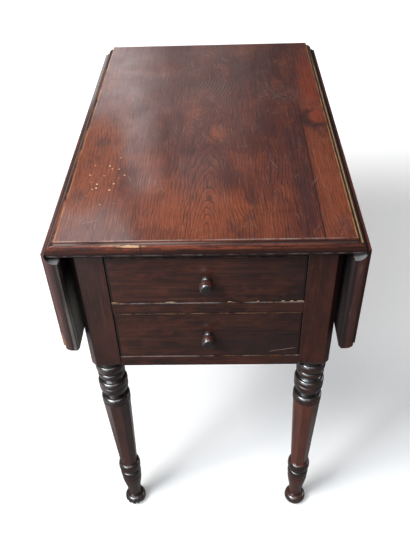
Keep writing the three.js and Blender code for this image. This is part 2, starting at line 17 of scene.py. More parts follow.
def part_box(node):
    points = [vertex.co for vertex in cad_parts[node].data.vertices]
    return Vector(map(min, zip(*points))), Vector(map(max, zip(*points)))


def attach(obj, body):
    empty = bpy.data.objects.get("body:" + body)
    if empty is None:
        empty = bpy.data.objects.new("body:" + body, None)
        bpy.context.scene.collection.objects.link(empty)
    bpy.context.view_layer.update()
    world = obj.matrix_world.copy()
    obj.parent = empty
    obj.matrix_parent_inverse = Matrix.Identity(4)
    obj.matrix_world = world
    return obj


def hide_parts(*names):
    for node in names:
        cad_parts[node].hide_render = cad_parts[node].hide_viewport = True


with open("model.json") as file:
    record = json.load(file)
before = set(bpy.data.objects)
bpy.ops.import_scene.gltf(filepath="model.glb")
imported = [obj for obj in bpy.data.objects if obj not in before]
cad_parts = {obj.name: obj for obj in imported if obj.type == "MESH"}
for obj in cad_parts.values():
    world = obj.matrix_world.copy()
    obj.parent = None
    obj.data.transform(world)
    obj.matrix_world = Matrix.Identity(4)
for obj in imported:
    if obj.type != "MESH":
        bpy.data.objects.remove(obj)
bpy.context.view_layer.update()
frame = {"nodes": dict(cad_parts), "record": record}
nodes = frame["nodes"]

# %% [markdown]
# ## The places that everything else is measured from
# A node's box gives its lowest and highest corner, so the sizes of the boards
# come from the frame and aren't written twice. Only the flat field of the top
# is smaller than its board's box, so its half width and half depth stand here.

# %% Places
mm = 0.001
leg_low, leg_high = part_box("leg_front_right")
post_half = (leg_high.x - leg_low.x) / 2
leg_x = (leg_high.x + leg_low.x) / 2
leg_y = -(leg_high.y + leg_low.y) / 2
case_top = leg_high.z
case_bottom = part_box("bottom_rail")[0].z
front_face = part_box("drawer_upper_front")[0].y
knob_places = {
    name: (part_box(name)[0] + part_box(name)[1]) / 2 for name in ("knob_upper", "knob_lower")
}
field_half = 204 * mm
field_half_depth = 335 * mm
print("leg axis", round(leg_x, 4), round(leg_y, 4), "case bottom", round(case_bottom, 4))

# %% [markdown]
# ## The camera
# The photographer stood in front of the table, a little to its right, and held
# the camera well above the top, looking down at about forty degrees. A camera
# can be aimed with an Euler rotation, but its three own axes are easier to
# check: forward from heading and tilt, then right and up turned by the roll.

# %% Camera
photo_height = 545
camera_place = Vector((26.0 * mm, -993.5 * mm, 1245.6 * mm))
tilt_down = math.radians(41.24)
heading = math.radians(-2.35)
roll = math.radians(-2.27)
focal_pixels = 629.8
sensor_height = 36.0

forward = Vector((
    math.sin(heading) * math.cos(tilt_down),
    math.cos(heading) * math.cos(tilt_down),
    -math.sin(tilt_down),
))
level_right = forward.cross(Vector((0, 0, 1))).normalized()
level_up = level_right.cross(forward)
camera_right = level_right * math.cos(roll) + level_up * math.sin(roll)
camera_up = level_up * math.cos(roll) - level_right * math.sin(roll)
camera_data = bpy.data.cameras.new("camera")
camera = bpy.data.objects.new("camera", camera_data)
bpy.context.scene.collection.objects.link(camera)
axes = Matrix((camera_right, camera_up, -forward)).transposed().to_4x4()
camera.matrix_world = Matrix.Translation(camera_place) @ axes
camera_data.sensor_fit = "VERTICAL"
camera_data.sensor_height = sensor_height
camera_data.lens = focal_pixels * sensor_height / photo_height
camera_data.clip_start = 10 * mm
bpy.context.scene.camera = camera
print("lens", round(camera_data.lens, 1), "mm")

# %% [markdown]
# ## A short way to write finishes
# A finish is a web of shader nodes. Written node by node it is long and hard
# to read, so a `Wire` wraps one output and lets sums be written as sums, and a
# `Web` adds any other node from its type, its settings and its inputs.

# %% A wire
class Wire:
    """One output of a node, for sums written in Python."""

    def __init__(self, web, socket):
        self.web = web
        self.socket = socket

    def __add__(self, other):
        return self.web.sum("ADD", self, other)

    def __sub__(self, other):
        return self.web.sum("SUBTRACT", self, other)

    def __mul__(self, other):
        return self.web.sum("MULTIPLY", self, other)

    def __rsub__(self, other):
        return self.web.sum("SUBTRACT", other, self)

    __radd__ = __add__
    __rmul__ = __mul__


print("wires add, subtract and multiply")


# %% A web of nodes
class Web:
    """A material whose nodes are added one line at a time."""

    def __init__(self, name):
        self.material = bpy.data.materials.new(name)
        self.material.use_nodes = True
        self.tree = self.material.node_tree
        self.tree.nodes.clear()
        self.place = self.node("ShaderNodeTexCoord", out="Object")

    def feed(self, socket, value):
        """Links a wire to a socket, or writes a plain value on it."""
        if isinstance(value, Wire):
            self.tree.links.new(value.socket, socket)
        else:
            socket.default_value = value

    def node(self, kind, settings=None, inputs=None, out=0):
        made = self.tree.nodes.new(kind)
        for key, value in (settings or {}).items():
            setattr(made, key, value)
        pairs = inputs.items() if isinstance(inputs, dict) else enumerate(inputs or [])
        for key, value in pairs:
            self.feed(made.inputs[key], value)
        return Wire(self, made.outputs[out]) if out is not None else made

    def sum(self, operation, *values):
        return self.node("ShaderNodeMath", {"operation": operation}, list(values))

    def axis(self, name):
        return self.node("ShaderNodeSeparateXYZ", None, [self.place], name)

    def joined(self, x, y, z):
        return self.node("ShaderNodeCombineXYZ", None, {"X": x, "Y": y, "Z": z})

    def length(self, vector):
        return self.node("ShaderNodeVectorMath", {"operation": "LENGTH"}, [vector], "Value")

    def stretch(self, scales, shift=(0, 0, 0)):
        inputs = {"Vector": self.place, "Scale": scales, "Location": shift}
        return self.node("ShaderNodeMapping", None, inputs)

    def mix(self, share, first, second):
        """Between two colours, each a wire or a linear red, green and blue."""
        made = self.node("ShaderNodeMix", {"data_type": "RGBA"}, {0: share}, None)
        for socket, value in ((made.inputs[6], first), (made.inputs[7], second)):
            self.feed(socket, value if isinstance(value, Wire) else (*value, 1))
        return Wire(self, made.outputs[2])

    def bump(self, height, depth, strength):
        inputs = {"Height": height, "Distance": depth, "Strength": strength}
        return self.node("ShaderNodeBump", None, inputs, "Normal")

    def finish(self, **sockets):
        """Closes the web: a Principled shader with these sockets, named with _ for spaces."""
        shader = self.node("ShaderNodeBsdfPrincipled", out=None)
        for key, value in sockets.items():
            self.feed(shader.inputs[key.replace("_", " ")], value)
        surface = Wire(self, shader.outputs[0])
        self.node("ShaderNodeOutputMaterial", None, {"Surface": surface}, None)
        return self.material


print("a web takes nodes")


# %% Noises and masks
class Finish(Web):
    """A web with the noises and masks that every finish here is built from."""

    def noise(self, vector, scale, detail, rough, warp=0.0):
        inputs = {
            "Vector": vector, "Scale": scale, "Detail": detail, "Roughness": rough, "Distortion": warp,
        }
        return self.node("ShaderNodeTexNoise", None, inputs, "Fac")

    def cloud(self, scales, detail, rough, shift=(0, 0, 0), warp=0.0):
        """Noise with its own scale along each axis of the table."""
        return self.noise(self.stretch(scales, shift), 1.0, detail, rough, warp)

    def step(self, value, low, high):
        """0 below low, 1 above high, smooth between; the other way round if low is the larger."""
        start, end = (1.0, 0.0) if low > high else (0.0, 1.0)
        return self.node(
            "ShaderNodeMapRange",
            {"interpolation_type": "SMOOTHSTEP"},
            {"Value": value, "From Min": min(low, high), "From Max": max(low, high),
             "To Min": start, "To Max": end},
        )

    def band(self, value, low, high, soft):
        """1 between low and high, falling to 0 over soft at both ends."""
        return self.step(value, low - soft, low) * self.step(value, high + soft, high)

    def line(self, value, place, width):
        """1 within a thin line at a place, as for a crack or a rubbed edge."""
        return self.step(self.sum("ABSOLUTE", value - place), width, width * 0.5)

    def spot(self, centre, radii, soft, wobble=None):
        """1 inside an oval patch of the board, 0 outside it, with a soft or ragged rim."""
        inverse = [1 / r if r else 0 for r in radii]
        shift = [-c * s for c, s in zip(centre, inverse)]
        reach = self.length(self.stretch(inverse, shift))
        if wobble is not None:
            reach = reach + wobble
        return self.step(reach, 1 + soft, 1 - soft)


print("finishes can be written")

# %% [markdown]
# ## Colours
# Shaders work in linear light, but colours are easier to judge as the values a
# screen shows. One helper turns a screen colour into a linear one.

# %% Colours
def screen(red, green, blue):
    shares = [c / 255 for c in (red, green, blue)]
    return tuple(c / 12.92 if c <= 0.04045 else ((c + 0.055) / 1.055) ** 2.4 for c in shares)


top_dark = screen(74, 32, 25)
top_mid = screen(92, 45, 38)
top_warm = screen(117, 61, 44)
top_orange = screen(138, 70, 40)
top_red = screen(150, 58, 28)
top_purple = screen(54, 32, 34)
top_line = screen(38, 18, 16)
# Dark wood of the edges, also used for painted shade on the end moulding.
edge_dark_and_shade = screen(34, 19, 17)
edge_red = screen(126, 64, 42)
moulding_wood = screen(58, 24, 15)
moulding_glint = screen(104, 90, 88)
chipped_wood = screen(196, 156, 118)
joint_brown = screen(72, 44, 38)
joint_olive = screen(104, 82, 46)
joint_gilt = screen(224, 182, 134)
joint_red = screen(146, 80, 50)
# The leaf's hollow in shade, and a painted grey sheen for the left leaf's lip.
cove_in_shade = screen(66, 56, 50)
cove_grey = screen(150, 146, 142)
# A painted grey highlight for the lip of the left leaf's end, darker and lighter.
lip_dark, lip_light = screen(60, 57, 54), screen(112, 108, 101)
case_dark = screen(32, 18, 15)
case_mid = screen(58, 31, 24)
case_red = screen(84, 42, 30)
case_light = screen(98, 60, 42)
rail_glint = screen(136, 122, 122)
drawer_shadow = screen(24, 22, 22)
post_red = screen(46, 20, 14)
shaft_red = screen(112, 54, 36)
raw_wood = screen(214, 178, 138)
rubbed_wood = screen(158, 112, 72)
# Pale greyish wood, for real wear and scratches and for painted highlights on the varnish and
# mouldings.
dust_and_highlight = screen(150, 124, 114)
# Pale grey, for a bare chip on a leaf, the paler foot of a leg, and the painted light in a leaf's
# hollow.
pale_dust_and_light = screen(102, 101, 102)
# Near black, for real dirt and cracks and for painted shade and painted shadow.
grime_and_shade = screen(18, 13, 12)
pine_light = screen(186, 150, 106)
pine_dark = screen(134, 94, 58)
iron_dark = screen(58, 54, 51)
iron_rust = screen(92, 60, 42)
print("grime in linear light", [round(c, 4) for c in grime_and_shade])

# %% [markdown]
# ## How a plank shows its growth
# A log is a stack of cones. A plank sawn flat from it shows nested arches up
# its middle and straight lines beside them. Noise alone gives clouds, and a
# plain wave gives stripes. So each point gets a ring number, from its distance
# to the tip of an arch with the length of the board counting for less, and only
# then is that number pushed about by noise, as weather pushes real growth.

# %% Growth rings
rings_per_metre = 215


def ring_reach(f, centre, slope):
    """Distance from a point of the board, with the length of the board counting for less."""
    x, y = centre
    return f.length(f.stretch((1, slope, 0), (-x, -y * slope, 0)))


def nested(f, centres, blend):
    """Rings that nest round several centres and run straight beside them."""
    total = None
    for centre, slope, head_start in centres:
        reach = ring_reach(f, centre, slope) + head_start
        total = reach if total is None else f.sum("SMOOTH_MIN", total, reach, blend)
    return total


def ring_wander(f, shift):
    """How far the rings have been pushed about, in broad waves and in small ones."""
    broad = (f.cloud((17, 7, 17), 3, 0.55, shift) - 0.5) * 6
    return broad + (f.cloud((80, 12, 80), 2, 0.5) - 0.5) * 1.4


def ring_lines(f, rings, low, high):
    return f.step(f.sum("SINE", rings * (2 * math.pi)), low, high)


print("rings lie about", round(1000 / rings_per_metre, 1), "mm apart")

# %% Fibres, pores and scratches
def along_board(across_scale, along_scale, along):
    scales = [across_scale] * 3
    scales[along] = along_scale
    return scales


def fibres(f, along, shift=0.0):
    return f.cloud(along_board(330, 7, along), 4, 0.65, (shift, shift, shift))


def pores(f, along, shift):
    return f.step(f.cloud(along_board(900, 30, along), 2, 0.5, (shift, shift, shift)), 0.56, 0.70)


def dashes(f, rings, across, along, scale, low, high):
    """Short marks that follow the growth rings: noise whose across bends with the ring number."""
    vector = f.joined(rings * 0.5 + across * scale, along * (scale * 0.036), 0.0)
    return f.step(f.noise(vector, 1.0, 2, 0.55), low, high)


def scratches(f, angle, shift, rarity):
    """Short thin marks lying at one angle across the top."""
    turned = {"Vector": f.place, "Rotation": (0, 0, angle), "Location": (shift, shift, 0)}
    thin = {"Vector": f.node("ShaderNodeMapping", None, turned), "Scale": (620, 22, 1)}
    streak = f.node("ShaderNodeMapping", None, thin)
    return f.step(f.noise(streak, 1.0, 1, 0.4), rarity, rarity + 0.04)


print("growth helpers ready")

# %% [markdown]
# ## The varnished top
# The real top is two boards glued edge to edge: a broad one with arches up its
# middle, and a narrow redder one at the right with a knot. Sun and cloths have
# bleached the left edge and the front to orange, the back right stays dark, and
# the shellac is scratched and flecked. Painting a picture of it would do for
# one view only. Here each mark is a place on the board, in metres, so it stays
# put from every side.

# %% The top's marks
# A ring centre is a place, how much the length counts, and a head start.
ring_centres = [
    ((0.002, -0.330), 0.15, 0.000),
    ((-0.012, 0.100), 0.30, 0.004),
    ((0.184, 0.003), 0.90, 0.115),
]
# A mark is its middle, its half width and half depth, the softness of its rim
# and its strength.
orange_marks = [
    ((-0.178, -0.125), (0.045, 0.150), 0.45, 0.95),
    ((-0.062, -0.205), (0.034, 0.026), 0.60, 0.55),
    ((-0.092, -0.135), (0.020, 0.030), 0.70, 0.50),
    ((0.023, -0.045), (0.018, 0.024), 0.70, 0.60),
    ((-0.022, 0.025), (0.014, 0.020), 0.70, 0.50),
    ((0.000, -0.275), (0.090, 0.060), 0.55, 0.80),
    ((-0.085, -0.270), (0.050, 0.050), 0.60, 0.45),
    ((0.186, -0.150), (0.022, 0.170), 0.50, 0.60),
    ((0.085, -0.300), (0.030, 0.040), 0.60, 0.45),
    ((0.075, 0.300), (0.030, 0.060), 0.70, 0.45),
]
dark_marks = [
    ((0.110, 0.215), (0.085, 0.120), 0.60, 0.60),
    ((0.138, 0.090), (0.022, 0.030), 0.50, 0.75),
    ((-0.032, 0.142), (0.012, 0.010), 0.60, 0.70),
    ((-0.030, -0.105), (0.014, 0.016), 0.60, 0.60),
    ((-0.188, -0.225), (0.010, 0.014), 0.60, 0.60),
    ((0.172, 0.255), (0.014, 0.020), 0.60, 0.60),
    ((0.146, -0.180), (0.015, 0.190), 0.55, 0.70),
    ((0.100, 0.010), (0.016, 0.120), 0.70, 0.35),
]


def marked(f, marks, wobble):
    """The strongest of a list of soft spots, each with its own strength."""
    total = None
    for (x, y), (width, depth), soft, strength in marks:
        one = f.spot((x, y, 0), (width, depth, 0), soft, wobble) * strength
        total = one if total is None else f.sum("MAXIMUM", total, one)
    return total


print("marks on the top", len(orange_marks) + len(dark_marks))

# %% The top's ground colours
def top_ground(f, wobble, narrow_board, fibre):
    """The patches of colour that lie under the growth lines."""
    broad = f.cloud((15, 5, 15), 4, 0.6)
    tone = f.mix(f.step(broad, 0.36, 0.66), top_dark, top_mid)
    front = f.step(f.axis("Y"), -0.05, -0.34)
    tone = f.mix(front * f.step(broad, 0.2, 0.7) * 0.75, tone, top_warm)
    tone = f.mix(narrow_board * 0.30, tone, top_warm)
    tone = f.mix(marked(f, orange_marks, wobble), tone, top_orange)
    tone = f.mix(marked(f, dark_marks, wobble), tone, top_purple)
    streak = f.spot((0.191, 0.150, 0), (0.020, 0.115, 0), 0.6, wobble) * narrow_board
    tone = f.mix(streak * f.step(fibre, 0.25, 0.6) * 0.7, tone, top_red)
    knot = f.spot((0.184, 0.001, 0), (0.025, 0.034, 0), 0.25, wobble * 0.6)
    heart = f.spot((0.199, 0.006, 0), (0.025, 0.027, 0), 0.25, wobble * 0.6)
    tone = f.mix(heart * f.step(fibre, 0.2, 0.7) * 0.6, tone, top_red)
    tone = f.mix(knot * (1 - heart) * 0.9, tone, top_line)

    patchy = f.cloud((26, 11, 26), 5, 0.7, (4, 1, 0))
    tone = f.mix(f.step(patchy, 0.50, 0.68) * 0.46, tone, top_orange)
    tone = f.mix(f.step(patchy, 0.48, 0.32) * 0.62, tone, top_purple)
    curl = f.cloud((34, 150, 34), 3, 0.6)
    tone = f.mix(f.step(curl, 0.55, 0.75) * 0.30, tone, top_dark)
    return f.mix(f.step(fibre, 0.35, 0.75) * 0.30, tone, top_warm)


print("ground colours ready")

# %% [markdown]
# ## The top's growth lines
# The growth rings carry everything: thin dark lines where a ring ends, dashes
# of open pore that follow the rings, and paler dashes between them, which are
# painted highlights of the rough varnish. The glued joint is one more dark line,
# which time has closed towards the back.

# %% The top's lines
joint_x = 0.161


def top_lines(f, tone, wobble, narrow_board, fibre):
    """The tone with its lines, then the pores, and the relief that all of them make."""
    x, y = f.axis("X"), f.axis("Y")
    wander = ring_wander(f, (2, 5, 0))
    rings = nested(f, ring_centres, 0.02) * rings_per_metre + wander + narrow_board * 3.4
    fading = f.step(f.cloud((38, 9, 38), 3, 0.6), 0.26, 0.56) * (1 - narrow_board * 0.5)
    lines = ring_lines(f, rings, 0.35, 1.0) * fading
    pore = dashes(f, rings, x, y, 380, 0.53, 0.64)
    fine_pore = dashes(f, rings, x, y, 760, 0.52, 0.66)
    tone = f.mix(lines * 0.52, tone, top_line)
    tone = f.mix(ring_lines(f, rings * 2.0, 0.2, 1.0) * 0.34, tone, top_line)
    tone = f.mix(pore * 0.26, tone, top_line)
    tone = f.mix(fine_pore * 0.42, tone, top_line)
    # Paler dashes along the rings: painted highlights of the rough varnish.
    tone = f.mix(dashes(f, rings + 7.7, x, y, 520, 0.60, 0.72) * 0.24, tone, dust_and_highlight)

    ripple = f.sum("SINE", ring_reach(f, (-0.050, 0.165), 0.7) * 1050 + wander * 2.4)
    rippled = f.spot((-0.002, 0.110, 0), (0.050, 0.045, 0), 0.5, wobble)
    tone = f.mix(f.step(ripple, 0.2, 1.0) * rippled * 0.40, tone, top_line)
    tone = f.mix(f.step(ripple, -0.3, -1.0) * rippled * 0.16, tone, dust_and_highlight)
    joint = f.line(x, joint_x, 1.6 * mm) * f.step(y, 0.16, 0.02)
    tone = f.mix(joint * f.step(fading, 0.0, 0.5) * 0.85, tone, top_line)
    relief = fibre * 0.5 - lines * 0.3 - pore * 0.9 - fine_pore * 0.5 - joint * 1.5
    return tone, pore, relief


print("growth lines ready")

# %% The top's scratches and flecks
def top_wear(f, tone, wobble):
    """The tone with scratches at three angles, a scuff and pale flecks, then the scratches."""
    scratch = f.sum("MAXIMUM", scratches(f, 0.5, 0.3, 0.755), scratches(f, -0.35, 0.7, 0.745))
    scratch = f.sum("MAXIMUM", scratch, scratches(f, 1.25, 0.9, 0.765))
    scuffed = f.spot((0.128, 0.100, 0), (0.040, 0.034, 0), 0.5, wobble)
    scuff = f.step(f.cloud((190, 420, 1), 3, 0.6), 0.48, 0.66) * scuffed
    tone = f.mix(f.sum("MAXIMUM", scratch, scuff * 0.7) * 0.38, tone, dust_and_highlight)
    drops = {"Vector": f.place, "Scale": 95.0}
    cells = f.node("ShaderNodeTexVoronoi", {"feature": "F1"}, drops, "Distance")
    fleck = f.step(cells, 0.19, 0.11) * f.spot((-0.150, -0.180, 0), (0.032, 0.065, 0), 0.3)
    return f.mix(fleck * 0.95, tone, raw_wood), scratch


print("wear ready")

# %% [markdown]
# ## The top's rims and mouldings
# Only the flat of the top has seen polish lately. Its arrises are worn, and
# the round of the rule joint has red patches of wear on the left and, on the
# right, a gilt line painted as both wear and highlight. The end moulding has
# lost a long chip near the left end, and its rows are painted with the light and
# shade it catches: lit on the left and shaded towards the right, a painted
# shadow in its quirk, below its ovolo and under it, and a painted highlight on
# its lower bead. Its rows are set by height and by how far out they lie, so the
# two ends and all four corners get them in one go.

# %% Rims of the top
arris_heights = (0.7235, 0.7246)


def top_rims(f, tone, fibre, out):
    """The worn arrises round the field, and the round of the rule joints beyond its sides."""
    x, y = f.axis("X"), f.axis("Y")
    on_arris = f.step(f.axis("Z"), *arris_heights)
    arris = f.band(out, -0.0016, 0.0002, 0.0006) * on_arris
    arris = arris * f.step(f.cloud((28, 1, 1), 3, 0.6), 0.30, 0.55)
    tone = f.mix(arris * 0.75, tone, dust_and_highlight)
    aside = f.sum("ABSOLUTE", x) - field_half
    side_arris = f.band(aside, -0.0015, 0.0005, 0.0007) * on_arris
    side_worn = f.step(f.cloud((1, 30, 1), 3, 0.6, (0, 3, 0)), 0.34, 0.58)
    tone = f.mix(side_arris * side_worn * 0.7, tone, rubbed_wood)

    right_side = f.step(x, -0.1, 0.1)
    joint = f.mix(f.step(fibre, 0.3, 0.7), edge_dark_and_shade, joint_brown)
    joint = f.mix(f.band(aside, 0.0040, 0.0088, 0.0008) * right_side * 0.6, joint, joint_olive)
    # The gilt line on the right round is painted as wear and as highlight.
    worn_and_glinting = f.step(f.cloud((1, 16, 1), 3, 0.6), 0.24, 0.5) * f.step(y, 0.30, 0.22)
    gilt = f.band(aside, 0.0058, 0.0072, 0.0006) * right_side * worn_and_glinting
    joint = f.mix(gilt * 0.9, joint, joint_gilt)
    red_wear = f.step(f.cloud((1, 22, 1), 4, 0.65, (0, 7, 0)), 0.44, 0.58)
    red_wear = red_wear * (1 - right_side) * f.step(aside, 0.0075, 0.0045)
    joint = f.mix(red_wear * 0.8, joint, joint_red)
    return f.mix(f.step(aside, 0.0002, 0.0010), tone, joint)


print("rims ready")

# %% Moulding rows
# Heights above the floor, from the top down. A pair that falls fades downwards.
# They place the moulding's painted shadows, its lit ledge and its painted highlight.
quirk_heights = (0.7210, 0.7238)
ledge_heights = (0.7180, 0.7222)
ovolo_shade = (0.7165, 0.7125)
lower_bead_shade = (0.7100, 0.7075)
bead_glint_height = 0.7048
underside_heights = (0.7036, 0.7022)


def moulded_end(f, tone, out):
    """Paints the rows of the end moulding in its light and shade, where out is how far beyond the
    field a point lies.
    """
    across, z = f.axis("X"), f.axis("Z")
    streaks = f.cloud((9, 330, 330), 3, 0.6)
    mottle = f.cloud((70, 200, 200), 4, 0.65, (1, 2, 0))
    # The left side is painted as lit and redder, the right side painted darker as shade.
    lit_side = f.step(across, 0.06, -0.10)
    wood = f.mix(f.step(streaks, 0.35, 0.65), moulding_wood, edge_red)
    wood = f.mix(f.step(mottle, 0.52, 0.66) * lit_side * 0.5, wood, top_red)
    wood = f.mix(f.step(mottle, 0.50, 0.36) * 0.6, wood, edge_dark_and_shade)
    wood = f.mix(f.step(across, -0.05, 0.20) * 0.60, wood, edge_dark_and_shade)
    # Painted shade on the lower ovolo and a painted shadow in the quirk.
    wood = f.mix(f.step(z, *ovolo_shade) * 0.75, wood, edge_dark_and_shade)
    wood = f.mix(f.band(z, *quirk_heights, 0.0006) * 0.9, wood, edge_dark_and_shade)
    # The ledge is painted pale where the lit side catches the light.
    ledge = f.band(z, *ledge_heights, 0.0008) * f.step(out, 0.0035, 0.0015)
    wood = f.mix(ledge * lit_side * f.step(streaks, 0.3, 0.5) * 0.75, wood, dust_and_highlight)
    # Painted shade below the lower bead, a painted highlight on it, and a painted shadow on the
    # underside.
    wood = f.mix(f.step(z, *lower_bead_shade), wood, edge_dark_and_shade)
    glint = f.line(z, bead_glint_height, 0.0014) * f.step(mottle, 0.4, 0.6)
    wood = f.mix(glint * 0.55, wood, moulding_glint)
    wood = f.mix(f.step(z, *underside_heights), wood, grime_and_shade)

    splinters = f.cloud((110, 400, 900), 3, 0.6) - 0.5
    chip = f.spot((-0.099, 0, 0.7194), (0.0140, 0, 0.0014), 0.3, splinters * 4.2)
    sliver = f.spot((-0.122, 0, 0.7206), (0.0140, 0, 0.0007), 0.4, splinters * 3.0)
    wood = f.mix(f.sum("MAXIMUM", chip * 0.75, sliver * 0.4), wood, chipped_wood)
    crack = f.line(across, -0.0862, 0.0009) * f.step(z, 0.7225, 0.7205)
    wood = f.mix(crack * 0.9, wood, grime_and_shade)
    return f.mix(f.step(out, -0.0004, 0.0004), tone, wood)


print("moulding rows ready")

# %% [markdown]
# ## Putting the top together
# The patches of colour go on under the lines, the scratches over them, and the
# rims and mouldings last. The polish is a clear coat, thinner where the fibres
# and pores have drunk it in, and nearly gone from the mouldings.

# %% Top finish
def top_finish():
    f = Finish("varnished_top")
    wobble = (f.cloud((55, 28, 55), 3, 0.6) - 0.5) * 1.1
    narrow_board = f.step(f.axis("X"), joint_x - 0.6 * mm, joint_x + 0.6 * mm)
    fibre = fibres(f, 1)
    out = f.sum("ABSOLUTE", f.axis("Y")) - field_half_depth
    tone = top_ground(f, wobble, narrow_board, fibre)
    tone, pore, relief = top_lines(f, tone, wobble, narrow_board, fibre)
    tone, scratch = top_wear(f, tone, wobble)
    tone = top_rims(f, tone, fibre, out)
    tone = moulded_end(f, tone, out)
    dull = f.noise(f.place, 14.0, 5, 0.6)
    polish = f.step(dull, 0.15, 0.75) * -0.45 + 1.0 - pore * 0.1
    polish = polish - f.step(fibre, 0.50, 0.72) * 0.22 - f.step(out, 0, 1 * mm) * 0.65
    return f.finish(
        Base_Color=tone,
        Roughness=0.42,
        Specular_IOR_Level=0.3,
        Coat_Weight=polish,
        Coat_Roughness=0.13,
        Normal=f.bump(relief - scratch, 0.10 * mm, 0.35),
    )


varnished_top = top_finish()
print("top finish:", len(varnished_top.node_tree.nodes), "nodes")

# %% [markdown]
# ## The dark wood of the case, legs and leaves
# The case is the same timber but never saw the sun, and a century of polish has
# turned it nearly black. One finish for all of it would show the same streaks
# on every board. So each board gets a finish of its own, with the grain along
# the board and the noises moved by a shift.

# %% Dark wood
def case_tone(f, along, shift, red):
    """Near-black wood with red streaks in it, then its fibres and pores for the relief."""
    broad = f.cloud(along_board(21, 6, along), 4, 0.6, (shift, shift, shift))
    streaks = f.cloud(along_board(130, 9, along), 5, 0.7, (shift, 3, shift), 0.6)
    mottle = f.cloud(along_board(60, 28, along), 4, 0.65, (shift, shift, 7))
    fibre = fibres(f, along, shift)
    pore = pores(f, along, shift)
    tone = f.mix(f.step(broad, 0.3, 0.7), case_dark, case_mid)
    tone = f.mix(f.step(mottle, 0.46, 0.66) * red * 0.8, tone, case_red)
    tone = f.mix(f.step(streaks, 0.45, 0.68) * red * 0.6, tone, case_red)
    tone = f.mix(f.step(streaks, 0.46, 0.30) * 0.50, tone, case_dark)
    tone = f.mix(f.step(fibre, 0.50, 0.8) * 0.45, tone, case_light)
    return f.mix(pore * 0.55, tone, top_line), fibre, pore


def near_sides(f, low, high, width):
    """1 along the edges of a board's box, where two of its sides are both close."""
    close = []
    for i, name in enumerate("XYZ"):
        value = f.axis(name)
        gap = f.sum("MINIMUM", value - low[i], high[i] - value)
        close.append(f.step(gap, width, width * 0.3))
    return f.step(close[0] + close[1] + close[2], 1.2, 1.9)


print("dark wood ready")

# %% [markdown]
# ## Marks on the front
# The upper drawer has worn its lower edge pale against the divider, with bare
# chips at both ends. The sides of both drawers are painted black as the shadow
# in the gaps beside them, the right half of the front is painted darker as shade,
# and the top of the front is painted dark as the overhang's shadow. The top edges
# of the rails are painted pale as wear and highlight, and the lower drawer has a
# painted shadow near its bottom.

# %% Marks on the front
overhang_shade = (0.676, 0.699)
# How much darker the right half of the front is painted, as shade.
right_shade_upper, right_shade_rest = 0.50, 0.34
# Chips of the upper drawer's lower edge: place from the middle, and half length.
edge_chips = (
    (-0.137, 0.0045), (-0.054, 0.008), (0.033, 0.003), (0.075, 0.002),
    (0.112, 0.003), (0.124, 0.003), (0.137, 0.005),
)
split_height, split_slope = 0.4715, 0.20


def front_marks(f, tone, name):
    """Wear, painted shade and painted shadow of one board of the front, by its place on the table."""
    low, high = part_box(name)
    x, z = f.axis("X"), f.axis("Z")
    ragged = (f.cloud((160, 160, 500), 3, 0.6) - 0.5) * 1.4
    # Painted shadow of the overhang along the top of the front.
    tone = f.mix(f.step(z, *overhang_shade) * 0.85, tone, grime_and_shade)
    # The right half painted darker as shade.
    right_shade = right_shade_upper if name == "drawer_upper_front" else right_shade_rest
    tone = f.mix(f.step(x, 0.02, 0.17) * right_shade, tone, grime_and_shade)
    # On a drawer, painted shadow in the gaps along its sides.
    if name.endswith("_front"):
        side = f.sum("MINIMUM", x - low.x, high.x - x)
        tone = f.mix(f.step(side, 0.0030, 0.0012) * 0.9, tone, grime_and_shade)
    elif name != "top_rail":
        # A pale line along the top edge of a rail, painted as wear and as highlight.
        worn_and_glinting = f.step(z, high.z - 0.0022, high.z - 0.0008)
        broken = f.step(f.cloud((26, 26, 26), 4, 0.7), 0.40, 0.60)
        tone = f.mix(worn_and_glinting * broken * 0.5, tone, rail_glint)
    if name == "drawer_upper_front":
        for place, reach in edge_chips:
            chip = f.spot((place, 0, low.z), (reach, 0, 0.0016), 0.3, ragged)
            tone = f.mix(chip * 0.8, tone, raw_wood)
    if name == "drawer_lower_front":
        # A painted shadow near the bottom of the lower drawer.
        dark = f.spot((0.055, 0, low.z + 0.028), (0.090, 0, 0.030), 0.8, ragged)
        tone = f.mix(dark * 0.6, tone, drawer_shadow)
        split = f.line(z - x * split_slope + ragged * 0.0012, split_height, 0.0010)
        tone = f.mix(split * f.band(x, 0.100, 0.132, 0.006) * 0.45, tone, dust_and_highlight)
    return tone


def case_finish(name, along, shift, red, on_front):
    """The finish of one board, darker along the edges of its box and worn paler right on them."""
    f = Finish(name + "_wood")
    low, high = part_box(name)
    tone, fibre, pore = case_tone(f, along, shift, red)
    worn = f.step(f.noise(f.place, 60.0, 3, 0.6), 0.40, 0.62)
    tone = f.mix(near_sides(f, low, high, 5 * mm) * 0.45, tone, grime_and_shade)
    tone = f.mix(near_sides(f, low, high, 1.2 * mm) * worn * 0.35, tone, rubbed_wood)
    if on_front:
        tone = front_marks(f, tone, name)
    rub = f.noise(f.place, 33.0, 4, 0.6)
    return f.finish(
        Base_Color=tone,
        Roughness=0.44,
        Specular_IOR_Level=0.3,
        Coat_Weight=f.step(rub, 0.2, 0.8) * -0.4 + 0.8,
        Coat_Roughness=0.16,
        Normal=f.bump(fibre * 0.5 - pore * 0.8, 0.12 * mm, 0.5),
    )


print("chips on the drawer's edge", len(edge_chips))

# %% [markdown]
# ## The leaves
# A hanging leaf shows its moulded end, the dull grey of its inner face, which
# nobody ever varnished, and the hollow where its rule joint has come away from
# the top. The end's rows are painted lit on the left leaf and shaded on the
# right one. The inner face is painted pale on the left leaf as the light it would
# catch, dark on the right one as shade, and dark near the top as the top's
# shadow. The hollow is painted pale where lit and dark behind and under the top
# as shade, and the left leaf's lips carry a painted grey sheen. `across` is
# measured from the inner face outwards, so one finish does both leaves, with -1
# for the left side and 1 for the right.

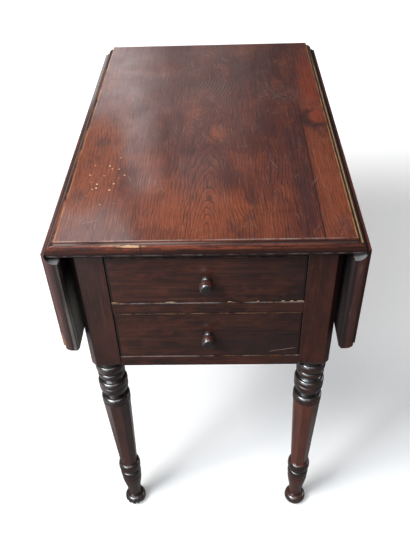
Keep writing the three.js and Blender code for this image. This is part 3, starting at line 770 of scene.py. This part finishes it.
# %% Tones of the leaves
# The inner face: painted pale on the left leaf as the light it would catch, and dark on the right leaf
# as shade.
inner_tones = {
    -1: (screen(160, 158, 150), screen(206, 204, 196)),
    1: (screen(26, 20, 20), screen(50, 40, 38)),
}
# Rows of the moulded end: how far out each ends, its softness and its colour.
# The colours paint the end lit on the left leaf and shaded on the right one.
end_rows = {
    -1: (
        (0.0260, 0.0010, screen(78, 52, 50)),
        (0.0165, 0.0030, screen(62, 34, 32)),
        (0.0110, 0.0015, screen(26, 18, 17)),
        (0.0062, 0.0008, screen(66, 56, 53)),
        (0.0040, 0.0010, screen(20, 14, 14)),
    ),
    1: (
        (0.0260, 0.0010, screen(36, 20, 18)),
        (0.0195, 0.0018, screen(66, 36, 27)),
        (0.0145, 0.0020, screen(62, 38, 38)),
        (0.0085, 0.0010, screen(34, 23, 23)),
        (0.0035, 0.0010, screen(20, 14, 14)),
    ),
}


def leaf_face(f, side, fibre, pore):
    """Wood like the top's, whose rings lie in the upright plane of the hanging leaf."""
    reach = f.length(f.stretch((0, 0.16, 1), (0, 0.02 * side, -0.560 - 0.03 * side)))
    rings = reach * rings_per_metre + ring_wander(f, (side, 5, 0))
    lines = ring_lines(f, rings, 0.35, 1.0)
    patchy = f.cloud((26, 11, 26), 5, 0.7, (side, 1, 0))
    tone = f.mix(f.step(patchy, 0.36, 0.66), top_dark, top_mid)
    tone = f.mix(f.step(patchy, 0.54, 0.70) * 0.4, tone, top_orange)
    tone = f.mix(f.step(fibre, 0.35, 0.75) * 0.30, tone, top_warm)
    tone = f.mix(lines * 0.46, tone, top_line)
    return f.mix(pore * 0.35, tone, top_line)


print("rows on a leaf's end", len(end_rows[1]))

# %% The leaf's moulded end
def leaf_end(f, side, tone, across):
    """The tone with the painted lit and shaded rows of its two moulded ends, then the mask of the
    ends.
    """
    ragged = f.cloud((130, 130, 16), 4, 0.6, (3, 0, 0))
    rows = tone
    for start, soft, colour in end_rows[side]:
        wavy = across + (ragged - 0.5) * 0.006
        rows = f.mix(f.step(wavy, start + soft, start - soft), rows, colour)
    rows = f.mix(f.step(ragged, 0.58, 0.78) * 0.25, rows, dust_and_highlight)
    # The left leaf's end lip gets a painted grey highlight.
    if side < 0:
        lip = f.mix(ragged, lip_dark, lip_light)
        lip_mask = f.step(across, 0.0085, 0.0070) * f.step(f.axis("Z"), 0.64, 0.57)
        rows = f.mix(lip_mask, rows, lip)
    depth = f.sum("ABSOLUTE", f.axis("Y")) - field_half_depth
    end = f.step(depth, 3.5 * mm, 4.5 * mm)
    return f.mix(end * 0.85, tone, rows), end


print("leaf ends ready")

# %% The leaf's wear and its cove
pin_x, pin_z = 0.2055, 0.707
cove_rim = (0.0134, 0.0128)


def leaf_wear(f, side, tone, across, end, inner, low_z):
    """Rubbed arrises round the outer face, and the left leaf's knocked corner and chip."""
    y = f.axis("Y")
    foot = f.axis("Z") - low_z
    depth = f.sum("ABSOLUTE", y) - field_half_depth
    rim = f.sum("MAXIMUM", f.step(depth, -1.2 * mm, -0.5 * mm), f.step(foot, 0.0145, 0.0138))
    broken = f.cloud((1, 22, 22), 4, 0.7, (0, side, 0))
    arris = f.step(across, 0.0240, 0.0247) * rim * f.step(broken, 0.48, 0.66)
    tone = f.mix(arris * 0.45, tone, rubbed_wood)
    worn_foot = f.step(foot, 0.0022, 0.0008) * f.step(broken, 0.45, 0.62)
    tone = f.mix(worn_foot * 0.12, tone, rubbed_wood)
    if side < 0:
        corner = f.spot((side * (inner + 0.024), 0, low_z + 0.016), (0.004, 0, 0.016), 0.4)
        tone = f.mix(corner * f.step(y, -0.325, -0.335) * 0.7, tone, rubbed_wood)
        chip = f.spot((side * (inner + 0.007), 0, low_z + 0.006), (0.0016, 0, 0.0022), 0.3)
        tone = f.mix(chip * end, tone, pale_dust_and_light)
    return tone


def leaf_cove(f, side, tone, across):
    """The tone with the hollow round the hinge pin, painted pale where lit and dark where shaded, then
    the mask of that hollow.
    """
    y, z = f.axis("Y"), f.axis("Z")
    from_pin = f.joined(f.axis("X") * side - pin_x, 0.0, z - pin_z)
    cove = f.step(f.length(from_pin), *cove_rim)
    # Pale in front where the hollow is painted lit, darker behind as shade; a painted shadow under the
    # top and, on the left leaf, beside its lip.
    cove_lit_and_shaded = f.mix(f.step(y, -0.326, -0.334), cove_in_shade, pale_dust_and_light)
    cove_lit_and_shaded = f.mix(f.step(z, 0.7000, 0.7030), cove_lit_and_shaded, grime_and_shade)
    if side < 0:
        cove_lit_and_shaded = f.mix(f.step(across, 0.0135, 0.0175) * 0.8, cove_lit_and_shaded, grime_and_shade)
    tone = f.mix(cove, tone, cove_lit_and_shaded)
    # A painted grey sheen on the left leaf's lip at the back.
    if side < 0:
        lip = f.step(z, 0.688, 0.696) * f.step(across, 0.017, 0.021) * f.step(y, 0.06, 0.16)
        tone = f.mix(lip * 0.5, tone, cove_grey)
    return tone, cove


print("hinge pin at", pin_x, pin_z)

# %% Leaf finish
def leaf_finish(name, side):
    f = Finish(name)
    low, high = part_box(name.replace("_wood", "_board"))
    inner = min(abs(low.x), abs(high.x))
    across = f.axis("X") * side - inner
    tone, fibre, pore = case_tone(f, 1, 1.3 + side, 0.7)
    face = leaf_face(f, side, fibre, pore)
    tone = f.mix(f.step(across, 0.0215, 0.0225) * 0.9, tone, face)
    # The bare inner face, painted lit or shaded by side, and painted dark near the top as the top's
    # shadow.
    bare = f.mix(f.cloud((60, 6, 60), 4, 0.6), *inner_tones[side])
    bare = f.mix(f.step(f.axis("Z"), 0.57, 0.67), bare, grime_and_shade)
    tone = f.mix(f.step(across, 0.0022, 0.0008), tone, bare)
    tone, end = leaf_end(f, side, tone, across)
    tone = leaf_wear(f, side, tone, across, end, inner, low.z)
    tone, cove = leaf_cove(f, side, tone, across)
    return f.finish(
        Base_Color=tone,
        Roughness=0.5,
        Specular_IOR_Level=0.3,
        Coat_Weight=f.step(across, 0.001, 0.004) * 0.5 * (1 - cove),
        Coat_Roughness=0.2,
        Normal=f.bump(fibre * 0.5 - pore * 0.8, 0.12 * mm, 0.5),
    )


leaf_finishes = {
    "leaf_left_board": leaf_finish("leaf_left_wood", -1),
    "leaf_right_board": leaf_finish("leaf_right_wood", 1),
}
print("leaf finishes", len(leaf_finishes))

# %% [markdown]
# ## Pine and iron
# Inside, the cabinet maker used cheap pale pine and left it bare. Its arches
# are short and wide, which the square of the distance across the board gives.
# The hinges are iron, dark and a little rusty.

# %% Pine and iron finishes
arch_width, arch_pitch = 0.028, 0.055


def pine_finish(name, along, wide, shift):
    """Bare pine, with its grain along one axis and its arches spread along another."""
    f = Finish(name)
    middle = 0.02 if wide == "X" else 0.59
    across = (f.axis(wide) - middle) * (1 / arch_width)
    wander = (f.cloud(along_board(14, 3, along), 2, 0.5, (shift, shift, 0)) - 0.5) * 1.6
    rings = across * across + f.axis("XYZ"[along]) * (1 / arch_pitch) + wander
    lines = ring_lines(f, rings, 0.1, 1.0)
    fibre = fibres(f, along, shift)
    return f.finish(
        Base_Color=f.mix(lines * 0.42 + fibre * 0.3, pine_light, pine_dark),
        Roughness=0.78,
        Specular_IOR_Level=0.2,
        Normal=f.bump(fibre - lines * 0.5, 0.15 * mm, 0.5),
    )


def iron_finish():
    f = Finish("dull_iron")
    rust = f.noise(f.place, 180, 4, 0.6)
    return f.finish(
        Base_Color=f.mix(f.step(rust, 0.45, 0.7), iron_dark, iron_rust),
        Roughness=f.step(rust, 0.2, 0.9) * 0.3 + 0.4,
        Metallic=f.step(rust, 0.75, 0.5) * 0.8,
        Normal=f.bump(rust, 0.1 * mm, 0.5),
    )


pine_flat = pine_finish("bare_pine_flat", 1, "X", 2.0)
pine_along = pine_finish("bare_pine_along", 1, "Z", 2.0)
pine_across = pine_finish("bare_pine_across", 0, "Z", 4.0)
dull_iron = iron_finish()
print("materials so far", len(bpy.data.materials))

# %% [markdown]
# ## Soft edges on sawn boards
# Real boards have no knife edges. Changing a CAD mesh isn't allowed, so a copy
# takes its place: its flat faces are joined up, its sharp edges get a small
# round, and the copy rides on the same body.

# %% Copying and softening
def body_of_node(name):
    bodies = frame["record"]["behaviour"]["bodies"]
    return next(body for body, members in bodies.items() if name in members)


def shade(data, angle=35):
    """Smooth shading, with edges sharper than an angle left crisp."""
    bm = bmesh.new()
    bm.from_mesh(data)
    for face in bm.faces:
        face.smooth = True
    for edge in bm.edges:
        sharp = len(edge.link_faces) == 2 and edge.calc_face_angle(0) > math.radians(angle)
        edge.smooth = not sharp
    bm.to_mesh(data)
    bm.free()


def settled(piece):
    """Bakes the piece's modifiers into its mesh."""
    depsgraph = bpy.context.evaluated_depsgraph_get()
    piece.data = bpy.data.meshes.new_from_object(piece.evaluated_get(depsgraph))
    piece.modifiers.clear()


def evened(piece):
    """Lets the large faces set the shading, so that narrow rounds look smooth."""
    even = piece.modifiers.new("even", "WEIGHTED_NORMAL")
    even.keep_sharp = True
    settled(piece)


def joined_faces(name):
    """A copy of a CAD mesh with the triangles of each flat face joined up."""
    data = nodes[name].data.copy()
    bm = bmesh.new()
    bm.from_mesh(data)
    bmesh.ops.remove_doubles(bm, verts=bm.verts, dist=0.01 * mm)
    bmesh.ops.dissolve_limit(
        bm, angle_limit=math.radians(1), verts=bm.verts, edges=bm.edges, delimit={"NORMAL"}
    )
    bm.to_mesh(data)
    bm.free()
    return data


print("the top rides on", body_of_node("top_board"))

# %% One softened board
def softened(name, round_size, material):
    piece = bpy.data.objects.new(name + "_soft", joined_faces(name))
    bpy.context.scene.collection.objects.link(piece)
    rounding = piece.modifiers.new("round", "BEVEL")
    rounding.width = round_size
    rounding.segments = 2
    rounding.limit_method = "ANGLE"
    rounding.angle_limit = math.radians(40)
    rounding.use_clamp_overlap = True
    settled(piece)
    shade(piece.data)
    evened(piece)
    piece.data.materials.clear()
    piece.data.materials.append(material)
    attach(piece, body_of_node(name))
    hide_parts(name)
    return piece


print("boards can be softened")

# %% Every sawn board
slots = {part["node"]: part["material_slot"] for part in frame["record"]["subparts"]}
turned_names = ("leg_", "knob_")
lengthwise_starts = ("outer", "inner", "fly", "runner", "kicker")
lengthwise_ends = ("side_left", "side_right")
front_rails = ("top_rail", "drawer_divider", "bottom_rail")
edge_sizes = {"mahogany": 0.5 * mm, "rosewood": 0.6 * mm, "pine": 0.4 * mm}


def board_finish(name, slot, seed):
    """The finish of a board, from its slot and from the way its name says it runs."""
    if slot == "mahogany":
        return varnished_top if name == "top_board" else leaf_finishes[name]
    lengthwise = name.startswith(lengthwise_starts) or name.endswith(lengthwise_ends)
    if slot == "pine":
        if name.endswith("_bottom"):
            return pine_flat
        return pine_along if lengthwise else pine_across
    on_front = name in front_rails or name.endswith("_front")
    red = 0.6 if on_front else 0.45
    return case_finish(name, 1 if lengthwise else 0, seed * 1.7, red, on_front)


for seed, name in enumerate(sorted(nodes)):
    slot = slots[name]
    if slot in edge_sizes and not name.startswith(turned_names):
        softened(name, edge_sizes[slot], board_finish(name, slot, seed))

# %% [markdown]
# ## The finish of turned pieces
# Polish gathers on the crests of the beads, and the quirks between them are
# painted dark as shade. How deep a point lies is known while its outline is being
# turned, so the mesh carries it as an attribute called hollow, and the finish
# reads it. The shaft of a leg is redder than its post and beads, so these get
# their tones by height. The canted corner of a post is painted dark where the
# hanging leaf shadows it.

# %% Turned finish
post_cant = 9 * mm
leg_length = case_bottom - 3 * mm
shaft_low, shaft_high = 0.321 * leg_length, 0.7595 * leg_length
ankle_top = 0.223 * leg_length
foot_top = 0.054 * leg_length


def leg_tones(f, tone, fibre, patchy, red):
    """The tone by the height of the leg's parts, with the leaf's painted shadow on the cant, then a
    mask of where the polish is dull.
    """
    z = f.axis("Z")
    tone = f.mix(f.step(z, 0.022, 0.004) * f.step(patchy, 0.4, 0.6) * 0.5, tone, rubbed_wood)
    on_post = f.step(z, case_bottom, case_bottom + 8 * mm)
    corner = leg_x + leg_y + 2 * post_half - post_cant
    reach = f.sum("ABSOLUTE", f.axis("X")) + f.sum("ABSOLUTE", f.axis("Y"))
    # The canted corner painted dark above the leaf's bottom, as the leaf's shadow.
    canted = f.step(reach, corner - 1.5 * mm, corner - 0.5 * mm) * f.step(z, 0.505, 0.535)
    tone = f.mix(canted * 0.85, tone, grime_and_shade)
    shaft = f.band(z, shaft_low, shaft_high, 2 * mm)
    ankle = f.band(z, foot_top, ankle_top, 6 * mm)
    members = f.step(z, leg_length, leg_length - 2 * mm) * (1 - shaft) * (1 - ankle)
    tone = f.mix(members * 0.45, tone, grime_and_shade)
    streaked = (shaft + ankle * 0.5) * f.step(fibre, 0.15, 0.65)
    tone = f.mix(streaked * (red * 0.85 - 0.13), tone, shaft_red)
    tone = f.mix(on_post * (red - 0.3) * 0.7, tone, post_red)
    # The foot painted paler towards the floor.
    tone = f.mix(f.step(z, 0.030, 0.006) * 0.25, tone, pale_dust_and_light)
    return tone, on_post + canted * 0.6


def turned_finish(name, along, shift, red, is_leg):
    f = Finish(name)
    tone, fibre, pore = case_tone(f, along, shift, red)
    hollow = f.node("ShaderNodeAttribute", {"attribute_name": "hollow"}, None, "Fac")
    patchy = f.noise(f.place, 90.0, 3, 0.6)
    # The quirks painted dark, as shade.
    tone = f.mix(f.step(hollow, 0.15, 0.75) * 0.95, tone, grime_and_shade)
    tone = f.mix(f.step(patchy, 0.62, 0.74) * (1 - hollow) * 0.35, tone, case_light)
    polish = f.step(patchy, 0.3, 0.8) * -0.25 + 1.0
    if is_leg:
        tone, dull = leg_tones(f, tone, fibre, patchy, red)
        polish = polish - dull * 0.65
    return f.finish(
        Base_Color=tone,
        Roughness=0.4,
        Specular_IOR_Level=0.4,
        Coat_Weight=polish,
        Coat_Roughness=0.18,
        Coat_IOR=1.8,
        Normal=f.bump(fibre * 0.5 - pore * 0.6, 0.12 * mm, 0.4),
    )


print("shaft of a leg from", round(shaft_low, 3), "to", round(shaft_high, 3))

# %% [markdown]
# ## Legs
# Each leg is one piece of wood: a square post with its outer corner canted, a
# stack of turned members, an eight-sided tapering shaft, a ring and a cup, a
# narrow ankle and a bun foot. A turner works from a list of members, so the
# outline is made from one here: beads, coves and bands with their heights and
# radii, as shares of the leg's length and of the post's half width. Curves come
# from two or three control points, and the outline is then spun into a mesh.

# %% Turned members
# Each member is its kind, its height, its radius and the radius of the quirk below it.
upper_members = [
    ("band", 0.0190, 0.80, 0.80),
    ("bead", 0.0400, 0.98, 0.80),
    ("band", 0.0040, 0.80, 0.80),
    ("bead", 0.0260, 0.93, 0.74),
    ("cove", 0.0200, 0.66, 0.78),
    ("bead", 0.0290, 1.00, 0.93),
    ("drop", 0.0550, 0.99, 0.68),
    ("band", 0.0100, 0.68, 0.68),
    ("bead", 0.0285, 0.99, 0.93),
    ("band", 0.0090, 0.985, 0.985),
]
lower_members = [
    ("bead", 0.052, 0.84, 0.66),
    ("band", 0.007, 0.66, 0.66),
    ("bead", 0.038, 0.80, 0.74),
]


def bend(start, pull, end, steps):
    """Points after start on the curve that leaves start towards pull and ends at end."""
    points = []
    for i in range(1, steps + 1):
        t = i / steps
        w = ((1 - t) ** 2, 2 * t * (1 - t), t * t)
        points.append(tuple(w[0] * a + w[1] * b + w[2] * c for a, b, c in zip(start, pull, end)))
    return points


def bezier(start, first, second, end, steps):
    """The same with two pulls, for a curve that swings in and out again."""
    points = []
    for i in range(1, steps + 1):
        t = i / steps
        w = ((1 - t) ** 3, 3 * t * (1 - t) ** 2, 3 * t * t * (1 - t), t ** 3)
        places = zip(start, first, second, end)
        points.append(tuple(sum(w[k] * place[k] for k in range(4)) for place in places))
    return points


def turned_down(top, members):
    """The outline of turned members going down from a height: radius and height pairs."""
    height = top
    quirk = members[0][3] * post_half
    outline = [(quirk, height)]
    for kind, height_share, radius_share, quirk_share in members:
        tall = height_share * leg_length
        radius = radius_share * post_half
        after = quirk_share * post_half
        foot = height - tall
        if kind == "bead":
            middle = (radius, height - tall / 2)
            outline.append((quirk, height))
            outline += bend((quirk, height), (radius, height), middle, 8)
            outline += bend(middle, (radius, foot), (after, foot), 8)
        elif kind == "drop":
            crest = (radius, height - tall * 0.22)
            outline.append((quirk, height))
            outline += bend((quirk, height), (radius, height), crest, 8)
            outline += bend(crest, (radius, height - tall * 0.7), (after, foot), 10)
        elif kind == "cove":
            pull = (2 * radius - (quirk + after) / 2, height - tall / 2)
            outline += bend((quirk, height), pull, (after, foot), 12)
        else:
            outline += [(radius, height), (radius, foot)]
        quirk = after
        height = foot
    return outline, height


print("turned members on a leg", len(upper_members) + len(lower_members))

# %% Lathe and loft
hollow_reach = 7 * mm
hollow_depth = 3 * mm


def hollows(outline):
    """For each point, how far the outline nearby stands proud of it: 0 on a crest, 1 in a quirk."""
    depths = []
    for radius, height in outline:
        nearby = [r for r, h in outline if abs(h - height) < hollow_reach]
        depths.append(min(1, (max(nearby) - radius) / hollow_depth))
    return depths


def closed_faces(bm, rings):
    """Faces between each ring of points and the next, and a lid at both ends."""
    count = len(rings[0])
    for upper, lower in zip(rings, rings[1:]):
        for i in range(count):
            j = (i + 1) % count
            bm.faces.new((upper[i], lower[i], lower[j], upper[j]))
    bm.faces.new(rings[0])
    bm.faces.new(rings[-1][::-1])


def lathe(bm, outline, around):
    """Turns radius and height pairs about the upright line through the origin."""
    hollow = bm.verts.layers.float.get("hollow") or bm.verts.layers.float.new("hollow")
    rings = []
    for (radius, height), depth in zip(outline, hollows(outline)):
        ring = []
        for i in range(around):
            angle = 2 * math.pi * i / around
            vert = bm.verts.new((radius * math.cos(angle), radius * math.sin(angle), height))
            vert[hollow] = depth
            ring.append(vert)
        rings.append(ring)
    closed_faces(bm, rings)
    return rings


def loft(bm, rings):
    """Joins rings of points that each have the same number of them."""
    closed_faces(bm, [[bm.verts.new(point) for point in ring] for ring in rings])


def mesh_from(bm, name):
    """Closes a bmesh into a mesh, with all its faces turned outwards."""
    bmesh.ops.recalc_face_normals(bm, faces=bm.faces)
    data = bpy.data.meshes.new(name)
    bm.to_mesh(data)
    bm.free()
    return data


print("lathe ready")

# %% [markdown]
# ## Post, shaft and foot
# The post's corners are rounded a little, and at its foot they are turned away
# in a quarter round, the pommel, so each ring there is the square cut back to a
# circle. The shaft is eight-sided and tapers, so two rings are enough for it.
# The left front foot is split into toes by pressing its front in along lines.

# %% Post and shaft
pommel = 20 * mm
shaft_shares = (0.905, 0.62)


def rounded_outline(corners, radius, steps=4):
    """A flat outline with each corner rounded, as points anticlockwise."""
    points = []
    count = len(corners)
    for i, corner in enumerate(corners):
        before = Vector(corners[i - 1])
        here = Vector(corner)
        after = Vector(corners[(i + 1) % count])
        first = here + (before - here).normalized() * radius
        last = here + (after - here).normalized() * radius
        points.append(tuple(first))
        points += bend(tuple(first), tuple(here), tuple(last), steps)
    return points


def post_rings(neck):
    """The square post from its top down to the neck, with its pommel."""
    h = post_half
    square = [(-h, -h), (h - post_cant, -h), (h, -h + post_cant), (h, h), (-h, h)]
    edge = rounded_outline(square, 1.0 * mm)
    corner = math.hypot(h, h)
    shoulder = bend((neck, leg_length), (corner, leg_length), (corner, leg_length + pommel), 24)
    levels = [(neck, leg_length)] + shoulder + [(corner, case_top)]
    rings = []
    for reach, height in reversed(levels):
        shares = [min(1, reach / math.hypot(x, y)) for x, y in edge]
        rings.append([(x * share, y * share, height) for (x, y), share in zip(edge, shares)])
    return rings


def shaft_rings(top, bottom):
    """The eight-sided shaft, a hair longer than the gap it fills."""
    eighth = math.pi / 4
    rings = []
    for share, height in zip(shaft_shares, (top + 0.3 * mm, bottom - 0.3 * mm)):
        far = share * post_half / math.cos(eighth / 2)
        turns = [eighth / 2 + i * eighth for i in range(8)]
        corners = [(far * math.cos(turn), far * math.sin(turn)) for turn in turns]
        rings.append([(x, y, height) for x, y in rounded_outline(corners, 0.8 * mm, 3)])
    return rings


print("a post ring has", len(post_rings(0.8 * post_half)[0]), "points")

# %% Foot
toe_gaps = (-128, -100, -68, -42)
toe_gap_width = 4.5
toe_gap_depth = 0.16


def foot_outline(start):
    """The ankle and the bun foot, down from a point of the outline."""
    h = post_half
    fall = ankle_top - foot_top
    neck = (0.50 * h, foot_top)
    widest = (0.84 * h, 0.5 * foot_top)
    outline = bezier(
        start, (0.86 * h, ankle_top - 0.24 * fall), (0.45 * h, ankle_top - 0.55 * fall), neck, 16
    )
    outline += bend(neck, (0.84 * h, foot_top), widest, 10)
    outline += bend(widest, (0.84 * h, widest[1] / 2), (0.42 * h, 0), 10)
    return outline


def split_toes(bm, rings):
    """Presses short splits into the front of a bun foot, so that it parts into toes."""
    hollow = bm.verts.layers.float["hollow"]
    for vert in (vert for ring in rings for vert in ring):
        low = max(0, 1 - vert.co.z / (0.95 * foot_top))
        angle = math.degrees(math.atan2(vert.co.y, vert.co.x))
        nearest = min(abs(angle - gap) for gap in toe_gaps)
        depth = math.exp(-((nearest / toe_gap_width) ** 2)) * min(1, 2.5 * low)
        # The splits also count as hollow, so they are painted dark as shade.
        vert[hollow] = max(vert[hollow], depth)
        vert.co.x *= 1 - toe_gap_depth * depth
        vert.co.y *= 1 - toe_gap_depth * depth


print("splits between the toes", len(toe_gaps))

# %% Four legs
facets, foot_facets = 72, 144


def leg_mesh(name):
    bm = bmesh.new()
    neck = upper_members[0][3] * post_half
    loft(bm, post_rings(neck))
    outline, shaft_top = turned_down(leg_length, upper_members)
    lathe(bm, [(neck, leg_length + 1 * mm)] + outline, facets)
    shaft_bottom = ankle_top + sum(member[1] for member in lower_members) * leg_length
    outline, _ = turned_down(shaft_bottom, lower_members)
    rings = lathe(bm, outline + foot_outline(outline[-1]), foot_facets)
    if name.startswith("leg_front_left"):
        split_toes(bm, rings)
    loft(bm, shaft_rings(shaft_top, shaft_bottom))
    return mesh_from(bm, name)


for end, away in (("front", -1), ("back", 1)):
    for side, across in (("left", -1), ("right", 1)):
        name = f"leg_{end}_{side}"
        wood = turned_finish(name + "_wood", 2, 8.3 + across * 2.1 + away, 0.6 + across * 0.3, True)
        data = leg_mesh(name + "_turned")
        data.transform(Matrix.Diagonal((across, -away, 1, 1)))
        if across * away > 0:
            data.flip_normals()
        data.transform(Matrix.Translation((across * leg_x, away * leg_y, 0)))
        shade(data)
        data.materials.append(wood)
        piece = bpy.data.objects.new(name + "_turned", data)
        bpy.context.scene.collection.objects.link(piece)
        evened(piece)
        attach(piece, body_of_node(name))
        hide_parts(name)
        print(name, "has", len(piece.data.polygons), "faces")

# %% [markdown]
# ## Knobs
# Two small turned mushrooms. The outline is the CAD one with many more points.

# %% Knobs
# Each pair is a radius and a reach out of the drawer's face, in millimetres.
knob_outline = [(3.0, -1.0), (7.14, -1.0), (7.14, 2.2), (6.7, 2.64)]
knob_outline += bend((6.7, 2.64), (4.83, 3.2), (4.83, 6.6), 8)
knob_outline += bend((4.83, 6.6), (10.5, 6.6), (10.5, 13.64), 12)
knob_outline += bend((10.5, 13.64), (10.5, 22.0), (5.78, 22.0), 14)
knob_outline += [(3.0, 22.3), (0.6, 22.4)]


def knob_mesh(name, centre_x, centre_z):
    """Turned upright, then laid forward so that it runs out of the drawer."""
    bm = bmesh.new()
    lathe(bm, [(radius * mm, reach * mm) for radius, reach in knob_outline], 64)
    data = mesh_from(bm, name)
    data.transform(Matrix.Rotation(math.radians(90), 4, "X"))
    data.transform(Matrix.Translation((centre_x, front_face, centre_z)))
    return data


knob_wood = turned_finish("knob_wood", 1, 4.4, 0.6, False)
for name, place in knob_places.items():
    data = knob_mesh(name + "_turned", place.x, place.z)
    shade(data, 40)
    data.materials.append(knob_wood)
    piece = bpy.data.objects.new(name + "_turned", data)
    bpy.context.scene.collection.objects.link(piece)
    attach(piece, body_of_node(name))
    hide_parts(name)
print("knobs", len(knob_places))

# %% [markdown]
# ## Iron
# The hinges and pins are small and hard, and their CAD shape is right, so they
# keep it and only get their finish.

# %% Iron keeps its shape
iron_names = [name for name in nodes if slots[name] not in edge_sizes]
for name in iron_names:
    nodes[name].data.materials.clear()
    nodes[name].data.materials.append(dull_iron)
print("iron pieces", len(iron_names))

# %% [markdown]
# ## The studio
# A wide pale floor, white to the camera. Its own colour for every other ray is
# a mid grey, so that it doesn't throw a white glow up into the dark varnish, but
# a patch at the left and a strip under the front of the table glow for those
# rays, as lights that fall on the wood.
# The world does the same: white to the camera and dim to the rest.

# %% Floor
def glowing(f, share, glow):
    """A dull surface that sends back a share of the light and adds some of its own."""
    dull = f.node("ShaderNodeBsdfDiffuse", None, {"Color": (share, share, share, 1)})
    light = f.node("ShaderNodeEmission", None, {"Color": (1, 1, 1, 1), "Strength": glow})
    return f.node("ShaderNodeAddShader", None, [dull, light])


def floor_finish():
    f = Finish("pale_floor")
    seen = f.node("ShaderNodeLightPath", out="Is Camera Ray")
    x, y = f.axis("X"), f.axis("Y")
    # Two patches glow for every ray but the camera's, as lights that fall on the wood: one at the left
    # and one under the front of the table.
    window_side = f.step(x, -0.28, -0.55) * 0.42
    under = f.band(x, -0.15, 0.35, 0.05) * f.step(y, -0.34, -0.26) * 0.12
    far = f.step(y, 0.7, 1.65) * 0.6
    behind = f.step(y, -0.18, 0.22) * 0.17
    unseen = glowing(f, 0.09, window_side + under)
    pale = glowing(f, 0.80, far + behind + 0.155)
    both = f.node("ShaderNodeMixShader", None, [seen, unseen, pale])
    f.node("ShaderNodeOutputMaterial", None, {"Surface": both}, None)
    return f.material


bpy.ops.mesh.primitive_plane_add(size=30)
floor = bpy.context.object
floor.name = "floor"
floor.data.materials.append(floor_finish())
print("floor", tuple(floor.dimensions))

# %% World
unseen_strength, seen_strength = 0.12, 1.0
world = bpy.data.worlds.new("studio")
bpy.context.scene.world = world
world.use_nodes = True
tree = world.node_tree
tree.nodes.clear()
path = tree.nodes.new("ShaderNodeLightPath")
strength = tree.nodes.new("ShaderNodeMapRange")
strength.inputs["To Min"].default_value = unseen_strength
strength.inputs["To Max"].default_value = seen_strength
tree.links.new(path.outputs["Is Camera Ray"], strength.inputs["Value"])
background = tree.nodes.new("ShaderNodeBackground")
tree.links.new(strength.outputs[0], background.inputs["Strength"])
world_output = tree.nodes.new("ShaderNodeOutputWorld")
tree.links.new(background.outputs[0], world_output.inputs["Surface"])
print("world nodes", len(tree.nodes))

# %% [markdown]
# ## Lamps
# The photograph's shadow falls to the back right, so the main lamp hangs at the
# front left. A broad soft panel overhead, a tall cool one at the left and weak
# ones in front and at the right fill the shadows. Behind the table stand dim
# panels: they are the window whose pale reflection lies across the left and the
# middle of the varnish, and each is dimmer than the last, so that it fades.

# %% Lamps
plain_light, cool_light, window_light = (1, 1, 1), (0.80, 0.90, 1.0), (1.0, 0.87, 0.86)
# Place, aim, width, height, watts and colour.
lamps = {
    "key": ((-1.48, -1.27, 2.5), (0, 0, 0.4), 0.9, 0.9, 76, plain_light),
    "overhead": ((-0.3, -1.3, 2.7), (0, -0.1, 0.3), 2.0, 1.3, 19, plain_light),
    "tall_window": ((-1.10, -1.90, 1.5), (0, -0.3, 0.7), 1.5, 2.8, 46, cool_light),
    "front_fill": ((0.6, -3.2, 1.6), (0, 0, 0.5), 1.6, 1.6, 3, plain_light),
    "side_fill": ((2.4, 0.2, 0.8), (0, 0, 0.45), 1.2, 1.0, 10, plain_light),
}
# Left, right, low, high and brightness of each panel behind the table.
panes_behind = 1.5
window_panes = {
    "pane_left": (-0.56, -0.32, 1.08, 1.49, 2.3),
    "pane_left_fading": (-0.32, -0.26, 1.08, 1.49, 1.6),
    "pane_left_last": (-0.26, -0.20, 1.08, 1.49, 0.9),
    "pane_tall": (-0.42, -0.31, 1.49, 1.87, 2.0),
    "pane_tall_fading": (-0.31, -0.26, 1.49, 1.87, 1.0),
    "pane_middle": (-0.20, 0.04, 1.05, 1.95, 0.5),
    "pane_middle_fading": (0.04, 0.13, 1.05, 1.80, 0.36),
    "pane_middle_last": (0.13, 0.22, 1.05, 1.60, 0.18),
    "pane_high": (-0.90, -0.45, 1.98, 2.45, 3.6),
}


def lamp(name, place, aim, width, height, watts, colour):
    data = bpy.data.lights.new(name, "AREA")
    data.shape = "RECTANGLE"
    data.size = width
    data.size_y = height
    data.energy = watts
    data.color = colour
    made = bpy.data.objects.new(name, data)
    bpy.context.scene.collection.objects.link(made)
    aimed = (Vector(aim) - Vector(place)).to_track_quat("-Z", "Y").to_matrix().to_4x4()
    made.matrix_world = Matrix.Translation(place) @ aimed


for name, settings in lamps.items():
    lamp(name, *settings)
for name, (left, right, low, high, brightness) in window_panes.items():
    width, height = right - left, high - low
    place = ((left + right) / 2, panes_behind, (low + high) / 2)
    watts = brightness * math.pi * width * height
    lamp(name, place, (place[0], 0, place[2]), width, height, watts, window_light)

bpy.context.scene.view_settings.view_transform = "Standard"
print("lamps", len(lamps) + len(window_panes))
